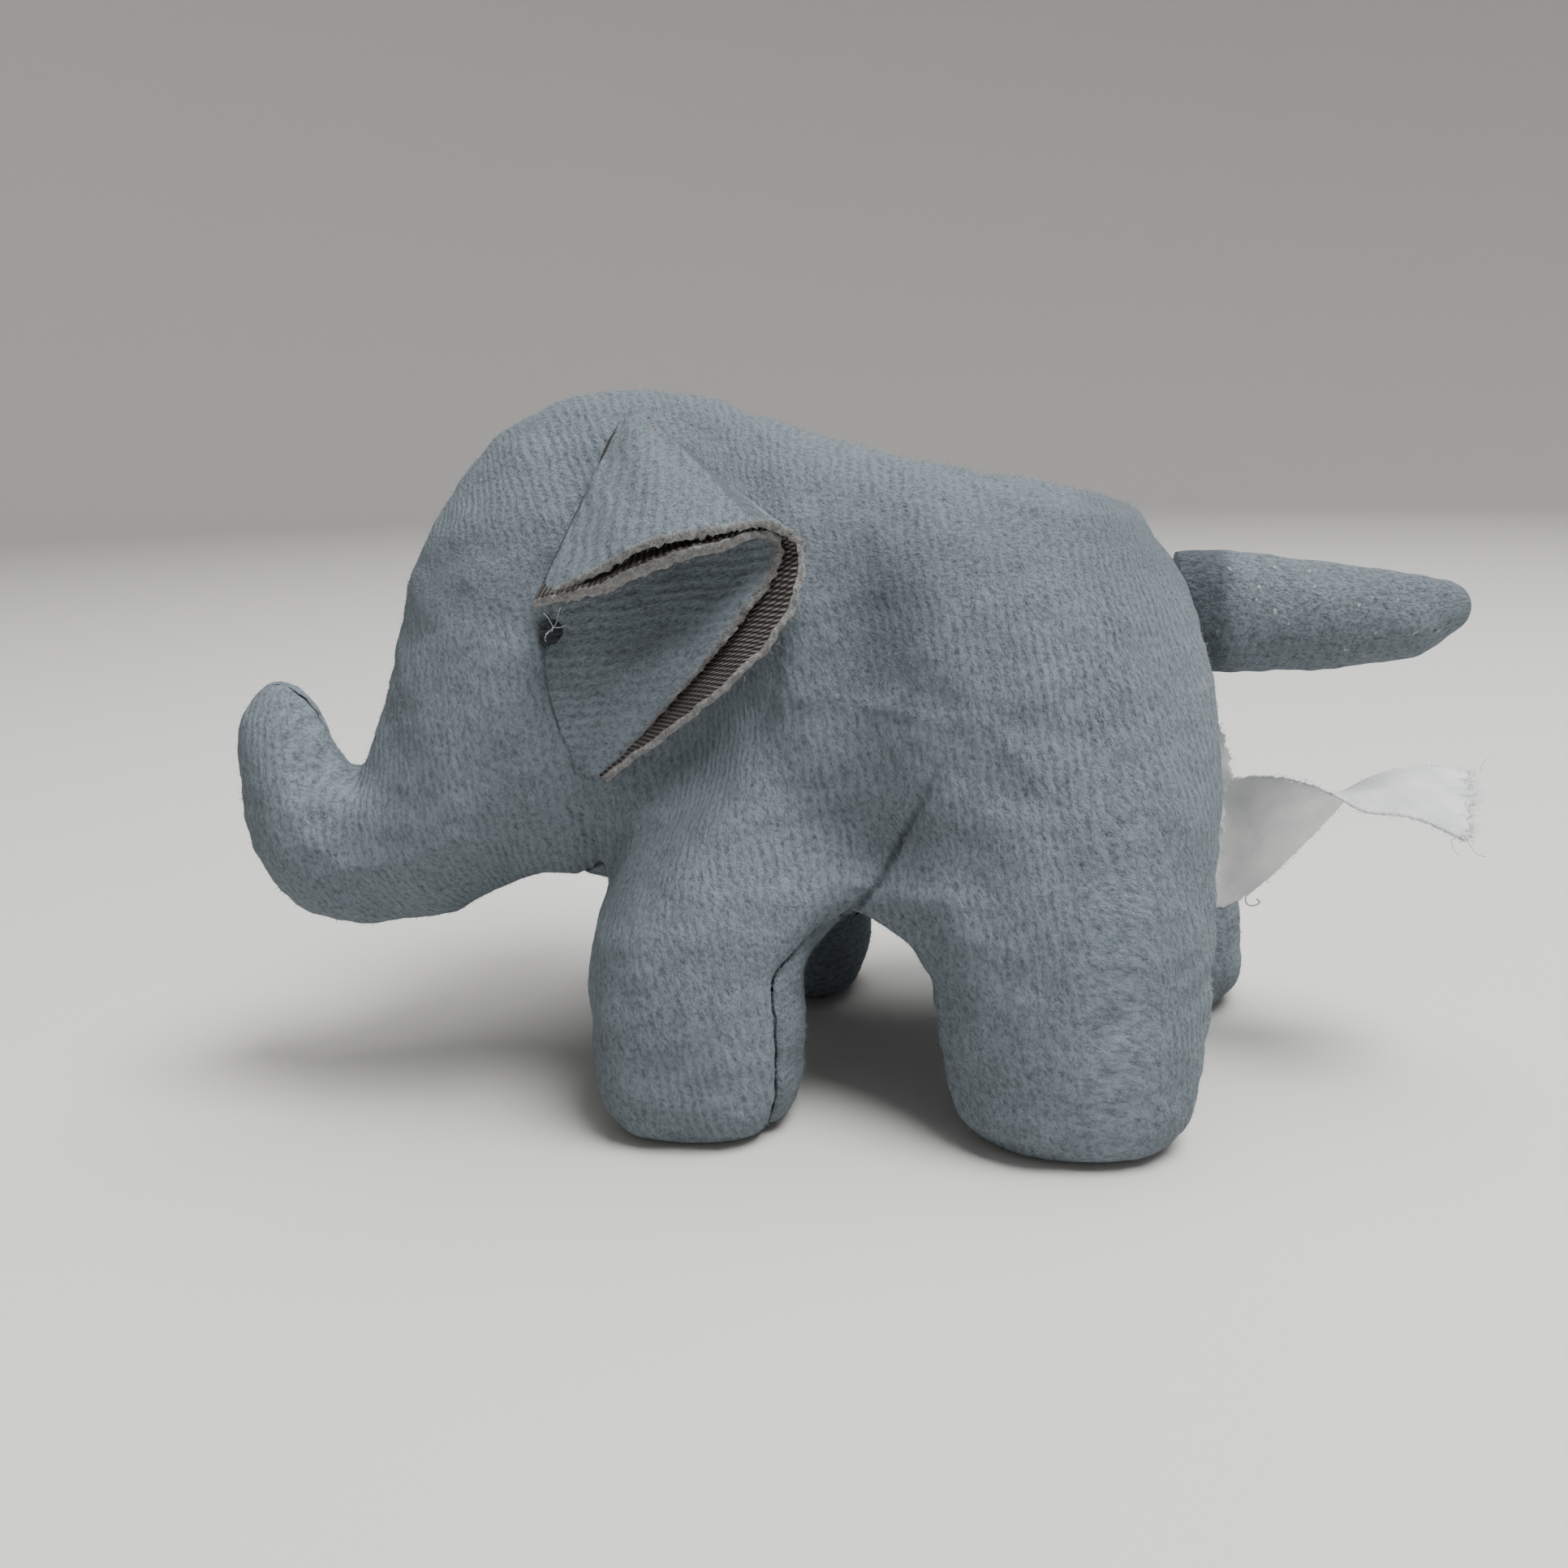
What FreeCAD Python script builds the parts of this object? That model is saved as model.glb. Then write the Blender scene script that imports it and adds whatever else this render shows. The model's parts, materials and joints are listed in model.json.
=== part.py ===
"""A small stuffed elephant, in millimetres: +Z up, head towards -X, tail towards +X.

The origin is under the middle of the whole toy, on the surface that it stands on. The head is turned
a little to the elephant's left (-Y), so the head, trunk, ears and eyes are built in a frame of their
own, which hinges on an upright line in the neck. Lengths along the torso are measured ahead of the
rump, and lengths along the head ahead of that neck line.
"""
import FreeCAD, Part
import os
import Sketcher
from FreeCAD import Placement, Rotation, Vector

doc = FreeCAD.newDocument("StuffedElephant")
sheet = doc.addObject("Spreadsheet::Sheet", "Sizes")
size_names = []


def add_size(alias, value):
    """One driving dimension: a name in column A and its number in column B."""
    row = len(size_names) + 1
    sheet.set(f"A{row}", alias)
    sheet.set(f"B{row}", str(value))
    sheet.setAlias(f"B{row}", alias)
    size_names.append(alias)


def size(alias):
    return float(sheet.get(alias))


# --- driving dimensions -----------------------------------------------------------------------
SIZES = {
    "rump": 37.2,               # the rump's rearmost point, from the origin
    "neck_ahead": 50.0,         # the neck line, ahead of the rump
    "head_turn": 20.0,          # degrees that the head is turned to the elephant's left
    "skin": 1.0,                # thickness of the velour panels
    "slack": 0.3,               # room between the skin and its filling
    "seam_half": 0.3,           # half of the gap in which a seam's thread lies
    "thread_half": 0.2,         # half of a seam thread's width
    "running_room": 0.4,        # room left round anything that moves
    "side_leg": 17.0,           # a leg's middle, out from the middle plane
    "front_leg": 52.5,          # the left front leg's middle, ahead of the rump
    "hind_leg": 14.2,           # the left hind leg's middle, ahead of the rump
    "right_set_back": 4.0,      # the right legs stand this much further back
    "right_splay": 7.5,         # the right hind foot is pushed back this much more than its top
    "gusset_half": 18.0,        # the leg seams, out from the middle plane
    "gusset_top": 31.0,
    "gusset_breast": 69.0,      # the inner-leg panels end this far ahead of the rump
    "gusset_rear": 3.0,
    "gusset_breast_point": 4.0,  # lengths of the panels' pointed ends
    "gusset_rear_point": 7.0,
    "trunk_ahead": 44.3,        # middle of the trunk's bend, ahead of the neck line
    "trunk_high": 27.9,
    "trunk_bend_radius": 8.3,
    "horn_base_ahead": 44.9,    # the upturned end of the trunk is a tapered tube
    "horn_base_high": 28.6,
    "horn_base_radius": 7.9,
    "horn_tip_ahead": 47.7,
    "horn_tip_high": 41.3,
    "horn_tip_radius": 4.5,
    "curl_in": 15.0,            # degrees that the trunk can curl towards the face
    "tail_behind": 0.3,         # the tail's root, behind the rump
    "tail_high": 51.0,
    "tail_base_radius": 6.4,
    "tail_tip_radius": 3.2,
    "tail_reach": 21.3,         # from the root to the middle of the rounded tip
    "tail_drop": 1.2,
    "tail_root_length": 4.6,    # the tail widens from its knot to its full size over this length
    "tail_root_radius": 1.7,
    "knot_radius": 1.2,
    "label_low": 21.5,
    "label_high": 37.5,
    "label_start": 1.6,         # the loose part of the label, behind the rump
    "label_end": 25.5,
    "label_thick": 0.4,
    "tab_start": -3.2,          # the label's sewn-in end, behind the rump
    "tab_end": 0.5,
    "tab_slot_depth": 10.0,
    "eye_ahead": 21.1,
    "eye_high": 51.7,
    "eye_out": 15.7,
    "eye_radius": 1.3,
    "eye_room": 0.1,
    "eye_hole_depth": 3.5,
    "eye_thread_radius": 0.3,
    "ear_top_ahead": 12.2,      # the ear's hinge line runs from its top to its bottom end
    "ear_top_high": 71.5,
    "ear_top_out": 13.6,
    "ear_low_ahead": 17.0,
    "ear_low_high": 37.5,
    "ear_low_out": 18.6,
    "ear_angle": 36.0,          # degrees that the ear stands out from the head
    "ear_reach": 19.0,
    "ear_clear": 2.2,           # room between the hinge line and the ear's stiff plates
    "ear_fold_along": 0.31,     # the outer edge's points: parts of the hinge line's length along it
    "ear_tip_along": 0.46,
    "ear_rim_along": 0.68,
    "ear_foot_along": 0.90,
    "ear_fold_out": 0.92,       # and parts of the ear's reach out from it
    "ear_rim_out": 0.78,
    "ear_foot_out": 0.30,
    "ear_layer": 0.8,           # thickness of one layer of the ear
    "ear_layer_gap": 0.2,
    "ear_ridge_radius": 1.06,   # the outer layer is rounded along its fold
    "flap_ahead": 22.0,         # lower front corner of the ear's folded flap
    "flap_high": 55.0,
    "flap_out": 19.8,
    "dart_top_ahead": 26.0,     # the thigh dart runs down and forward on the flank
    "dart_top_high": 39.0,
    "dart_low_ahead": 33.0,
    "dart_low_high": 28.0,
}
for alias, value in SIZES.items():
    add_size(alias, value)

# Sections across the torso: how far ahead of the rump, lowest, highest, half width.
TORSO = {
    "rump_cap": (0.2, 26.5, 44.5, 9.0),
    "rump_round": (3.0, 19.0, 54.5, 16.0),
    "haunch": (9.0, 17.8, 60.2, 20.0),
    "loin": (18.0, 18.5, 64.0, 22.0),
    "belly": (30.0, 20.5, 66.3, 22.3),
    "shoulder": (44.0, 20.5, 70.6, 20.8),
    "chest": (58.0, 20.5, 69.0, 17.5),
    "breast": (67.0, 24.0, 57.0, 13.0),
    "breast_cap": (71.0, 33.0, 46.0, 6.0),
}
# Sections across the head: how far ahead of the neck line, lowest, highest, half width.
HEAD = {
    "nape": (-4.0, 40.0, 69.0, 12.0),
    "crown_back": (4.0, 33.0, 73.4, 15.3),
    "crown": (12.0, 26.5, 74.0, 16.3),
    "brow": (20.0, 23.0, 71.3, 16.0),
    "cheek": (27.0, 20.6, 66.0, 15.0),
    "face": (32.0, 19.6, 60.0, 13.2),
    "muzzle": (36.2, 19.4, 48.5, 10.8),
    "muzzle_end": (40.6, 19.6, 36.8, 8.4),
}
# Sections across a leg: height, half length, half width, and how far the middle leans inwards.
FRONT_LEG = {
    "sole": (0.0, 7.6, 6.8, 0.0),
    "toe": (1.3, 9.7, 8.4, 0.0),
    "foot": (4.5, 11.1, 9.3, 0.0),
    "shank": (12.0, 11.7, 9.6, 0.0),
    "knee": (22.0, 11.7, 9.4, 0.5),
    "thigh": (32.0, 11.2, 8.6, 2.4),
    "hip": (42.0, 9.5, 7.0, 5.5),
    "root": (48.0, 7.5, 6.0, 7.5),
}
HIND_LEG = {
    "sole": (0.0, 8.6, 6.8, 0.0),
    "toe": (1.3, 10.7, 8.6, 0.0),
    "foot": (4.5, 12.2, 9.6, 0.0),
    "shank": (12.0, 13.0, 10.0, 0.0),
    "knee": (22.0, 13.0, 9.8, 0.3),
    "thigh": (32.0, 12.2, 9.0, 1.5),
    "hip": (42.0, 10.2, 8.0, 4.0),
    "root": (48.0, 8.0, 7.0, 6.0),
}
for table, stations, columns in (
    ("torso", TORSO, ("ahead", "low", "high", "half")),
    ("head", HEAD, ("ahead", "low", "high", "half")),
    ("front_leg", FRONT_LEG, ("height", "long", "wide", "lean")),
    ("hind_leg", HIND_LEG, ("height", "long", "wide", "lean")),
):
    for station, values in stations.items():
        for column, value in zip(columns, values):
            add_size(f"{table}_{station}_{column}", value)
doc.recompute()

NECK_X = size("rump") - size("neck_ahead")
TURN = Rotation(Vector(0, 0, 1), size("head_turn"))
HEAD_FRAME = Placement(Vector(NECK_X, 0, 0), TURN)
SIDES = {"left": -1, "right": 1}        # the sign of Y on each side of the elephant
BIG = 120.0                             # longer than the whole toy, for cutting tools


def head_point(ahead, out, high):
    """A place given in the head's own frame, as a point of the toy."""
    return HEAD_FRAME.multVec(Vector(-ahead, out, high))


# --- small helpers that make document objects -----------------------------------------------------
def add(kind, name, **properties):
    feature = doc.addObject(kind, name)
    for key, value in properties.items():
        setattr(feature, key, value)
    return feature


def bind(feature, **expressions):
    for key, expression in expressions.items():
        feature.setExpression(key, expression)
    return feature


def fuse(name, *shapes):
    return add("Part::MultiFuse", name, Shapes=list(shapes))


def cut(name, base, tool):
    return add("Part::Cut", name, Base=base, Tool=tool)


def common(name, *shapes):
    return add("Part::MultiCommon", name, Shapes=list(shapes))


def sphere(name, radius, place):
    ball = add("Part::Sphere", name, Placement=Placement(place, Rotation()))
    return bind(ball, Radius=radius)


def cone_between(name, start, end, start_radius, end_radius):
    """A tapered round bar between two points, with its radii bound to the sheet."""
    along = end - start
    bar = add("Part::Cone", name, Height=along.Length)
    bar.Placement = Placement(start, Rotation(Vector(0, 0, 1), along))
    return bind(bar, Radius1=start_radius, Radius2=end_radius)


def cross_section(name, table, station, inset, end_inset):
    """An upright ellipse across the torso or the head."""
    cell = f"Sizes.{table}_{station}_"
    ellipse = doc.addObject("Part::Ellipse", name)
    upright = Rotation(Vector(0, 1, 0), -90)
    ahead = f"({cell}ahead + {end_inset})"
    places = {"z": f"({cell}low + {cell}high) / 2"}
    if table == "torso":
        ellipse.Placement = Placement(Vector(), upright)
        places["x"] = f"Sizes.rump - {ahead}"
    else:
        ellipse.Placement = Placement(Vector(), TURN * upright)
        places["x"] = f"Sizes.rump - Sizes.neck_ahead - {ahead} * cos(Sizes.head_turn)"
        places["y"] = f"-{ahead} * sin(Sizes.head_turn)"
    bind(ellipse, MajorRadius=f"({cell}high - {cell}low) / 2 - {inset}",
         MinorRadius=f"{cell}half - {inset}")
    for axis, expression in places.items():
        ellipse.setExpression(f".Placement.Base.{axis}", expression)
    return ellipse


def trunk_of_body(name, table, stations, inset):
    """The torso or the head: a smooth loft through its sections, inset all round."""
    sections = []
    last = len(stations) - 1
    for index, station in enumerate(stations):
        end_inset = {0: inset, last: f"-({inset})"}.get(index, "0")
        sections.append(cross_section(f"{name}_{station}", table, station, inset, end_inset))
    return add("Part::Loft", name, Sections=sections, Solid=True, Ruled=False)


def leg(name, pair, side, inset):
    """One leg: a loft of ellipses from its flat sole up into the torso."""
    stations = {"front": FRONT_LEG, "hind": HIND_LEG}[pair]
    set_back = "Sizes.right_set_back" if side == "right" else "0"
    sections = []
    last = len(stations) - 1
    for index, station in enumerate(stations):
        cell = f"Sizes.{pair}_leg_{station}_"
        lift = {0: f"+ {inset}", last: f"- ({inset})"}.get(index, "")
        ellipse = doc.addObject("Part::Ellipse", f"{name}_{station}")
        bind(ellipse, MajorRadius=f"{cell}long - {inset}", MinorRadius=f"{cell}wide - {inset}")
        splay = "0"
        if pair == "hind" and side == "right":
            splay = f"Sizes.right_splay * (1 - {cell}height / Sizes.hind_leg_root_height)"
        places = {
            "x": f"Sizes.rump - Sizes.{pair}_leg + {set_back} + {splay}",
            "y": f"{SIDES[side]} * (Sizes.side_leg - {cell}lean)",
            "z": f"{cell}height {lift}",
        }
        for axis, expression in places.items():
            ellipse.setExpression(f".Placement.Base.{axis}", expression)
        sections.append(ellipse)
    return add("Part::Loft", name, Sections=sections, Solid=True, Ruled=False)


def whole_body(name, inset):
    """Torso, head and four legs, each inset by the same amount."""
    pieces = {
        "torso": trunk_of_body(f"{name}_torso", "torso", TORSO, inset),
        "head": trunk_of_body(f"{name}_head", "head", HEAD, inset),
    }
    for pair in ("front", "hind"):
        for side in SIDES:
            pieces[f"{side}_{pair}_leg"] = leg(f"{name}_{side}_{pair}", pair, side, inset)
    return pieces


def right_of_middle(name, offset):
    """Everything to the right of the middle plane, which bends at the neck line."""
    behind = add("Part::Box", f"{name}_body", Length=2 * BIG, Width=BIG, Height=2 * BIG)
    behind.Placement = Placement(Vector(-BIG, offset, -BIG), Rotation())
    ahead = add("Part::Box", f"{name}_head", Length=BIG, Width=BIG, Height=2 * BIG)
    ahead.Placement = HEAD_FRAME * Placement(Vector(-BIG, offset, -BIG), Rotation())
    return fuse(name, behind, ahead)


def gusset_space(name, grow):
    """The upright block that holds the inner-leg panels, pointed at breast and rump."""
    half = size("gusset_half") + grow
    breast = size("rump") - size("gusset_breast") - grow
    rear = size("rump") - size("gusset_rear") + grow
    outline = [
        Vector(breast, 0, -1),
        Vector(breast + size("gusset_breast_point"), -half, -1),
        Vector(rear + size("gusset_rear_point"), -half, -1),
        Vector(rear, 0, -1),
        Vector(rear + size("gusset_rear_point"), half, -1),
        Vector(breast + size("gusset_breast_point"), half, -1),
    ]
    wire = Part.makePolygon(outline + outline[:1])
    block = doc.addObject("Part::Feature", name)
    block.Shape = Part.Face(wire).extrude(Vector(0, 0, size("gusset_top") + 1 + grow))
    return block


def dart_space(name, side, half):
    """A thin upright slab through one flank, along the thigh dart."""
    set_back = size("right_set_back") if side == "right" else 0
    top = Vector(size("rump") - size("dart_top_ahead") + set_back, 0, size("dart_top_high"))
    low = Vector(size("rump") - size("dart_low_ahead") + set_back, 0, size("dart_low_high"))
    along = top - low
    slab = add("Part::Box", name, Length=along.Length, Width=BIG, Height=2 * half)
    slab.Placement = Placement(low, Rotation(along, Vector(), Vector(), "XYZ"))
    start = low - slab.Placement.Rotation.multVec(Vector(0, 0, half))
    if slab.Placement.Rotation.multVec(Vector(0, 1, 0)).y * SIDES[side] < 0:
        start -= slab.Placement.Rotation.multVec(Vector(0, BIG, 0))
    slab.Placement.Base = start
    return slab


nodes = []          # every sub-part that is exported


def node(name, feature):
    feature.Label = name
    nodes.append(feature)
    return feature


# --- places where other pieces need room in the skin and filling -----------------------------------
TRUNK_HINGE = head_point(size("trunk_ahead"), 0, size("trunk_high"))
HORN_BASE = head_point(size("horn_base_ahead"), 0, size("horn_base_high"))
HORN_TIP = head_point(size("horn_tip_ahead"), 0, size("horn_tip_high"))
TAIL_ROOT = Vector(size("rump") + size("tail_behind"), 0, size("tail_high"))
TAIL_TIP = TAIL_ROOT + Vector(size("tail_reach"), 0, -size("tail_drop"))
EYES = {side: head_point(size("eye_ahead"), sign * size("eye_out"), size("eye_high"))
        for side, sign in SIDES.items()}

trunk_room = sphere("TrunkRoom", "Sizes.trunk_bend_radius + Sizes.running_room", TRUNK_HINGE)
horn_room = cone_between("HornRoom", HORN_BASE, HORN_TIP, "Sizes.horn_base_radius + Sizes.running_room",
                         "Sizes.horn_tip_radius + Sizes.running_room")
curl = Placement(Vector(), Rotation(TURN.multVec(Vector(0, 1, 0)), size("curl_in")), TRUNK_HINGE)
horn_room.Placement = curl * horn_room.Placement
tail_room = sphere("TailRoom", "Sizes.knot_radius + Sizes.running_room", TAIL_ROOT)
EYE_DEPTH = head_point(0, size("eye_hole_depth"), 0) - head_point(0, 0, 0)
eye_rooms = [
    cone_between(f"EyeRoom_{side}", EYES[side] - EYE_DEPTH, EYES[side] + EYE_DEPTH,
                 "Sizes.eye_radius + Sizes.eye_room", "Sizes.eye_radius + Sizes.eye_room")
    for side in SIDES
]
eye_thread_room = cone_between("EyeThreadRoom", EYES["left"], EYES["right"],
                               "Sizes.eye_thread_radius + Sizes.eye_room",
                               "Sizes.eye_thread_radius + Sizes.eye_room")
tab_room = add("Part::Box", "TabRoom")
bind(tab_room, Length="Sizes.tab_slot_depth", Width="Sizes.label_thick + 2 * Sizes.slack",
     Height="Sizes.label_high - Sizes.label_low + 2 * Sizes.eye_room")
tab_room.Placement = Placement(
    Vector(size("rump") + size("tab_start") - size("eye_room"),
           -size("label_thick") / 2 - size("slack"), size("label_low") - size("eye_room")), Rotation())
moving_room = fuse("MovingRoom", trunk_room, horn_room, tail_room)
small_room = fuse("SmallRoom", eye_thread_room, tab_room, *eye_rooms)

# --- the velour skin ------------------------------------------------------------------------------
outside = whole_body("Outside", "0")
outer = fuse("Outer", *outside.values())
inner = fuse("Inner", *whole_body("Inside", "Sizes.skin").values())
skin = cut("Skin", cut("ClosedSkin", outer, inner), moving_room)
skin_with_holes = cut("SkinWithHoles", skin, fuse("EyeHoles", *eye_rooms))

right_wide = right_of_middle("RightWide", -size("seam_half"))
right_narrow = right_of_middle("RightNarrow", size("seam_half"))
middle_sheet = cut("MiddleSheet", right_of_middle("RightThreadWide", -size("thread_half")),
                   right_of_middle("RightThreadNarrow", size("thread_half")))
halves = {
    "left": cut("LeftSkin", skin_with_holes, right_wide),
    "right": common("RightSkin", skin_with_holes, right_narrow),
}
gusset_wide = gusset_space("GussetWide", size("seam_half"))
gusset_narrow = gusset_space("GussetNarrow", -size("seam_half"))
gusset_wall = cut("GussetWall", gusset_space("GussetThreadWide", size("thread_half")),
                  gusset_space("GussetThreadNarrow", -size("thread_half")))

for side, half_skin in halves.items():
    flank = cut(f"{side}_flank", half_skin, gusset_wide)
    dart_gap = dart_space(f"{side}_dart_gap", side, size("seam_half"))
    node(f"{side}_side_panel", cut(f"{side}_side_panel", flank, dart_gap))
    node(f"{side}_inner_leg_panel", common(f"{side}_inner_leg_panel", half_skin, gusset_narrow))
    dart_slab = dart_space(f"{side}_dart_slab", side, size("thread_half"))
    node(f"{side}_thigh_dart_thread", common(f"{side}_thigh_dart_thread", flank, dart_slab))
    node(f"{side}_leg_seam_thread", common(f"{side}_leg_seam_thread", half_skin, gusset_wall))

centre_open = cut("CentreOpen", common("CentreRing", skin, middle_sheet), tab_room)
node("back_seam_thread", cut("BackSeamThread", centre_open, gusset_wide))
node("belly_seam_thread", common("BellySeamThread", centre_open, gusset_narrow))

# --- the fibre filling, one loose lump in each part of the body ----------------------------------
lumps = whole_body("Filling", "(Sizes.skin + Sizes.slack)")
rooms = fuse("FillingRoom", moving_room, small_room)
node("torso_filling", cut("torso_filling", lumps["torso"], rooms))
clear_of_torso = cut("head_trim", lumps["head"], outside["torso"])
node("head_filling", cut("head_filling", clear_of_torso, rooms))
for region in [name for name in lumps if name.endswith("leg")]:
    lump = lumps[region]
    if "front" in region:
        lump = cut(f"{region}_under_head", lump, outside["head"])
    node(f"{region}_filling", cut(f"{region}_filling", lump, lumps["torso"]))


# --- the trunk's upturned end ----------------------------------------------------------------------
def trunk_solid(name, inset):
    bend = sphere(f"{name}_bend", f"Sizes.trunk_bend_radius - {inset}", TRUNK_HINGE)
    horn = cone_between(f"{name}_horn", HORN_BASE, HORN_TIP, f"Sizes.horn_base_radius - {inset}",
                        f"Sizes.horn_tip_radius - {inset}")
    tip = sphere(f"{name}_tip", f"Sizes.horn_tip_radius - {inset}", HORN_TIP)
    return fuse(name, bend, horn, tip)


trunk_skin = cut("TrunkSkin", trunk_solid("TrunkOuter", "0"), trunk_solid("TrunkInner", "Sizes.skin"))
node("left_trunk_panel", cut("left_trunk_panel", trunk_skin, right_wide))
node("right_trunk_panel", common("right_trunk_panel", trunk_skin, right_narrow))
node("trunk_seam_thread", common("trunk_seam_thread", trunk_skin, middle_sheet))
node("trunk_filling", trunk_solid("trunk_filling", "(Sizes.skin + Sizes.slack)"))


# --- the tail ---------------------------------------------------------------------------------------
TAIL_ALONG = (TAIL_TIP - TAIL_ROOT).normalize()
TAIL_START = TAIL_ROOT + TAIL_ALONG * (size("knot_radius") + size("running_room"))
TAIL_FULL = TAIL_START + TAIL_ALONG * size("tail_root_length")


def tail_solid(name, inset_size, inset):
    """A tapered tube with a round tip, which narrows to its knot so that it can turn on the rump."""
    start = TAIL_START + TAIL_ALONG * (2 * inset_size)
    full = TAIL_FULL + TAIL_ALONG * inset_size
    root = cone_between(f"{name}_root", start, full, f"Sizes.tail_root_radius - {inset} / 2",
                        f"Sizes.tail_base_radius - {inset}")
    taper = cone_between(f"{name}_taper", full, TAIL_TIP, f"Sizes.tail_base_radius - {inset}",
                         f"Sizes.tail_tip_radius - {inset}")
    tip = sphere(f"{name}_tip", f"Sizes.tail_tip_radius - {inset}", TAIL_TIP)
    return fuse(name, root, taper, tip)


tail_outer = tail_solid("TailOuter", 0, "0")
node("tail_skin", cut("tail_skin", tail_outer, tail_solid("TailInner", size("skin"), "Sizes.skin")))
filling_inset = "(Sizes.skin + Sizes.slack)"
node("tail_filling", tail_solid("tail_filling", size("skin") + size("slack"), filling_inset))
node("tail_knot", sphere("tail_knot", "Sizes.knot_radius", TAIL_ROOT))


# --- the care label ---------------------------------------------------------------------------------
def label_plate(name, start, end):
    """A flat upright piece of ribbon in the middle plane: a sketch on XZ, padded both ways."""
    body = doc.addObject("PartDesign::Body", name)
    outline = body.newObject("Sketcher::SketchObject", f"{name}_outline")
    planes = [plane for plane in body.Origin.OriginFeatures if plane.Role == "XZ_Plane"]
    outline.AttachmentSupport = [(planes[0], "")]
    outline.MapMode = "FlatFace"
    corners = [(start, "label_low"), (end, "label_low"), (end, "label_high"), (start, "label_high")]
    points = [Vector(size("rump") + size(across), size(up), 0) for across, up in corners]
    for point, following in zip(points, points[1:] + points[:1]):
        outline.addGeometry(Part.LineSegment(point, following))
    for index, corner in enumerate(corners):
        outline.addConstraint(Sketcher.Constraint("Coincident", index, 2, (index + 1) % 4, 1))
    for index, (across, up) in enumerate(corners):
        x_from = Sketcher.Constraint("DistanceX", -1, 1, index, 1, points[index].x)
        outline.renameConstraint(outline.addConstraint(x_from), f"across{index}")
        outline.setExpression(f"Constraints.across{index}", f"Sizes.rump + Sizes.{across}")
        y_from = Sketcher.Constraint("DistanceY", -1, 1, index, 1, points[index].y)
        outline.renameConstraint(outline.addConstraint(y_from), f"up{index}")
        outline.setExpression(f"Constraints.up{index}", f"Sizes.{up}")
    pad = body.newObject("PartDesign::Pad", f"{name}_pad")
    pad.Profile = outline
    pad.Midplane = True
    bind(pad, Length="Sizes.label_thick")
    return body


node("care_label", label_plate("care_label", "label_start", "label_end"))
node("care_label_sewn_end", label_plate("care_label_sewn_end", "tab_start", "tab_end"))


# --- the eyes ---------------------------------------------------------------------------------------
for side, place in EYES.items():
    node(f"{side}_eye", sphere(f"{side}_eye", "Sizes.eye_radius", place))
across_head = (EYES["right"] - EYES["left"]).normalize() * (size("eye_radius") + size("eye_room") / 2)
node("eye_tie_thread", cone_between("eye_tie_thread", EYES["left"] + across_head,
                                    EYES["right"] - across_head, "Sizes.eye_thread_radius",
                                    "Sizes.eye_thread_radius"))


# --- the ears ---------------------------------------------------------------------------------------
def ear_corners(sign):
    """The ear's corner points: hinge top and bottom, fold end, outer edge, flap corner."""
    top = head_point(size("ear_top_ahead"), sign * size("ear_top_out"), size("ear_top_high"))
    low = head_point(size("ear_low_ahead"), sign * size("ear_low_out"), size("ear_low_high"))
    angle = Rotation(Vector(0, 0, 1), sign * size("ear_angle"))
    outwards = TURN.multVec(angle.multVec(Vector(1, 0, 0)))
    hinge = (low - top).normalize()
    outwards = (outwards - hinge * outwards.dot(hinge)).normalize()
    length = (low - top).Length
    reach = size("ear_reach")

    def edge_point(name, out):
        return top + hinge * (length * size(f"ear_{name}_along")) + outwards * (reach * out)

    edge = {name: edge_point(name, size(f"ear_{name}_out")) for name in ("fold", "rim", "foot")}
    edge["tip"] = edge_point("tip", 1)
    flap = head_point(size("flap_ahead"), sign * size("flap_out"), size("flap_high"))
    return top, low, edge, flap, outwards, hinge


def plate(name, corners, normal, start, thick):
    """A flat plate on the given corners, from one offset along the normal to the next."""
    shift = normal * start
    wire = Part.makePolygon([corner + shift for corner in corners + corners[:1]])
    feature = doc.addObject("Part::Feature", name)
    feature.Shape = Part.Face(wire).extrude(normal * thick)
    return feature


def below(name, place, normal, offset):
    """A large block under the plane through a place, moved by an offset along the plane's normal."""
    block = add("Part::Box", name, Length=BIG, Width=BIG, Height=BIG)
    turn = Rotation(Vector(0, 0, 1), normal)
    corner = turn.multVec(Vector(-BIG / 2, -BIG / 2, -BIG))
    block.Placement = Placement(place + normal * offset + corner, turn)
    return block


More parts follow.
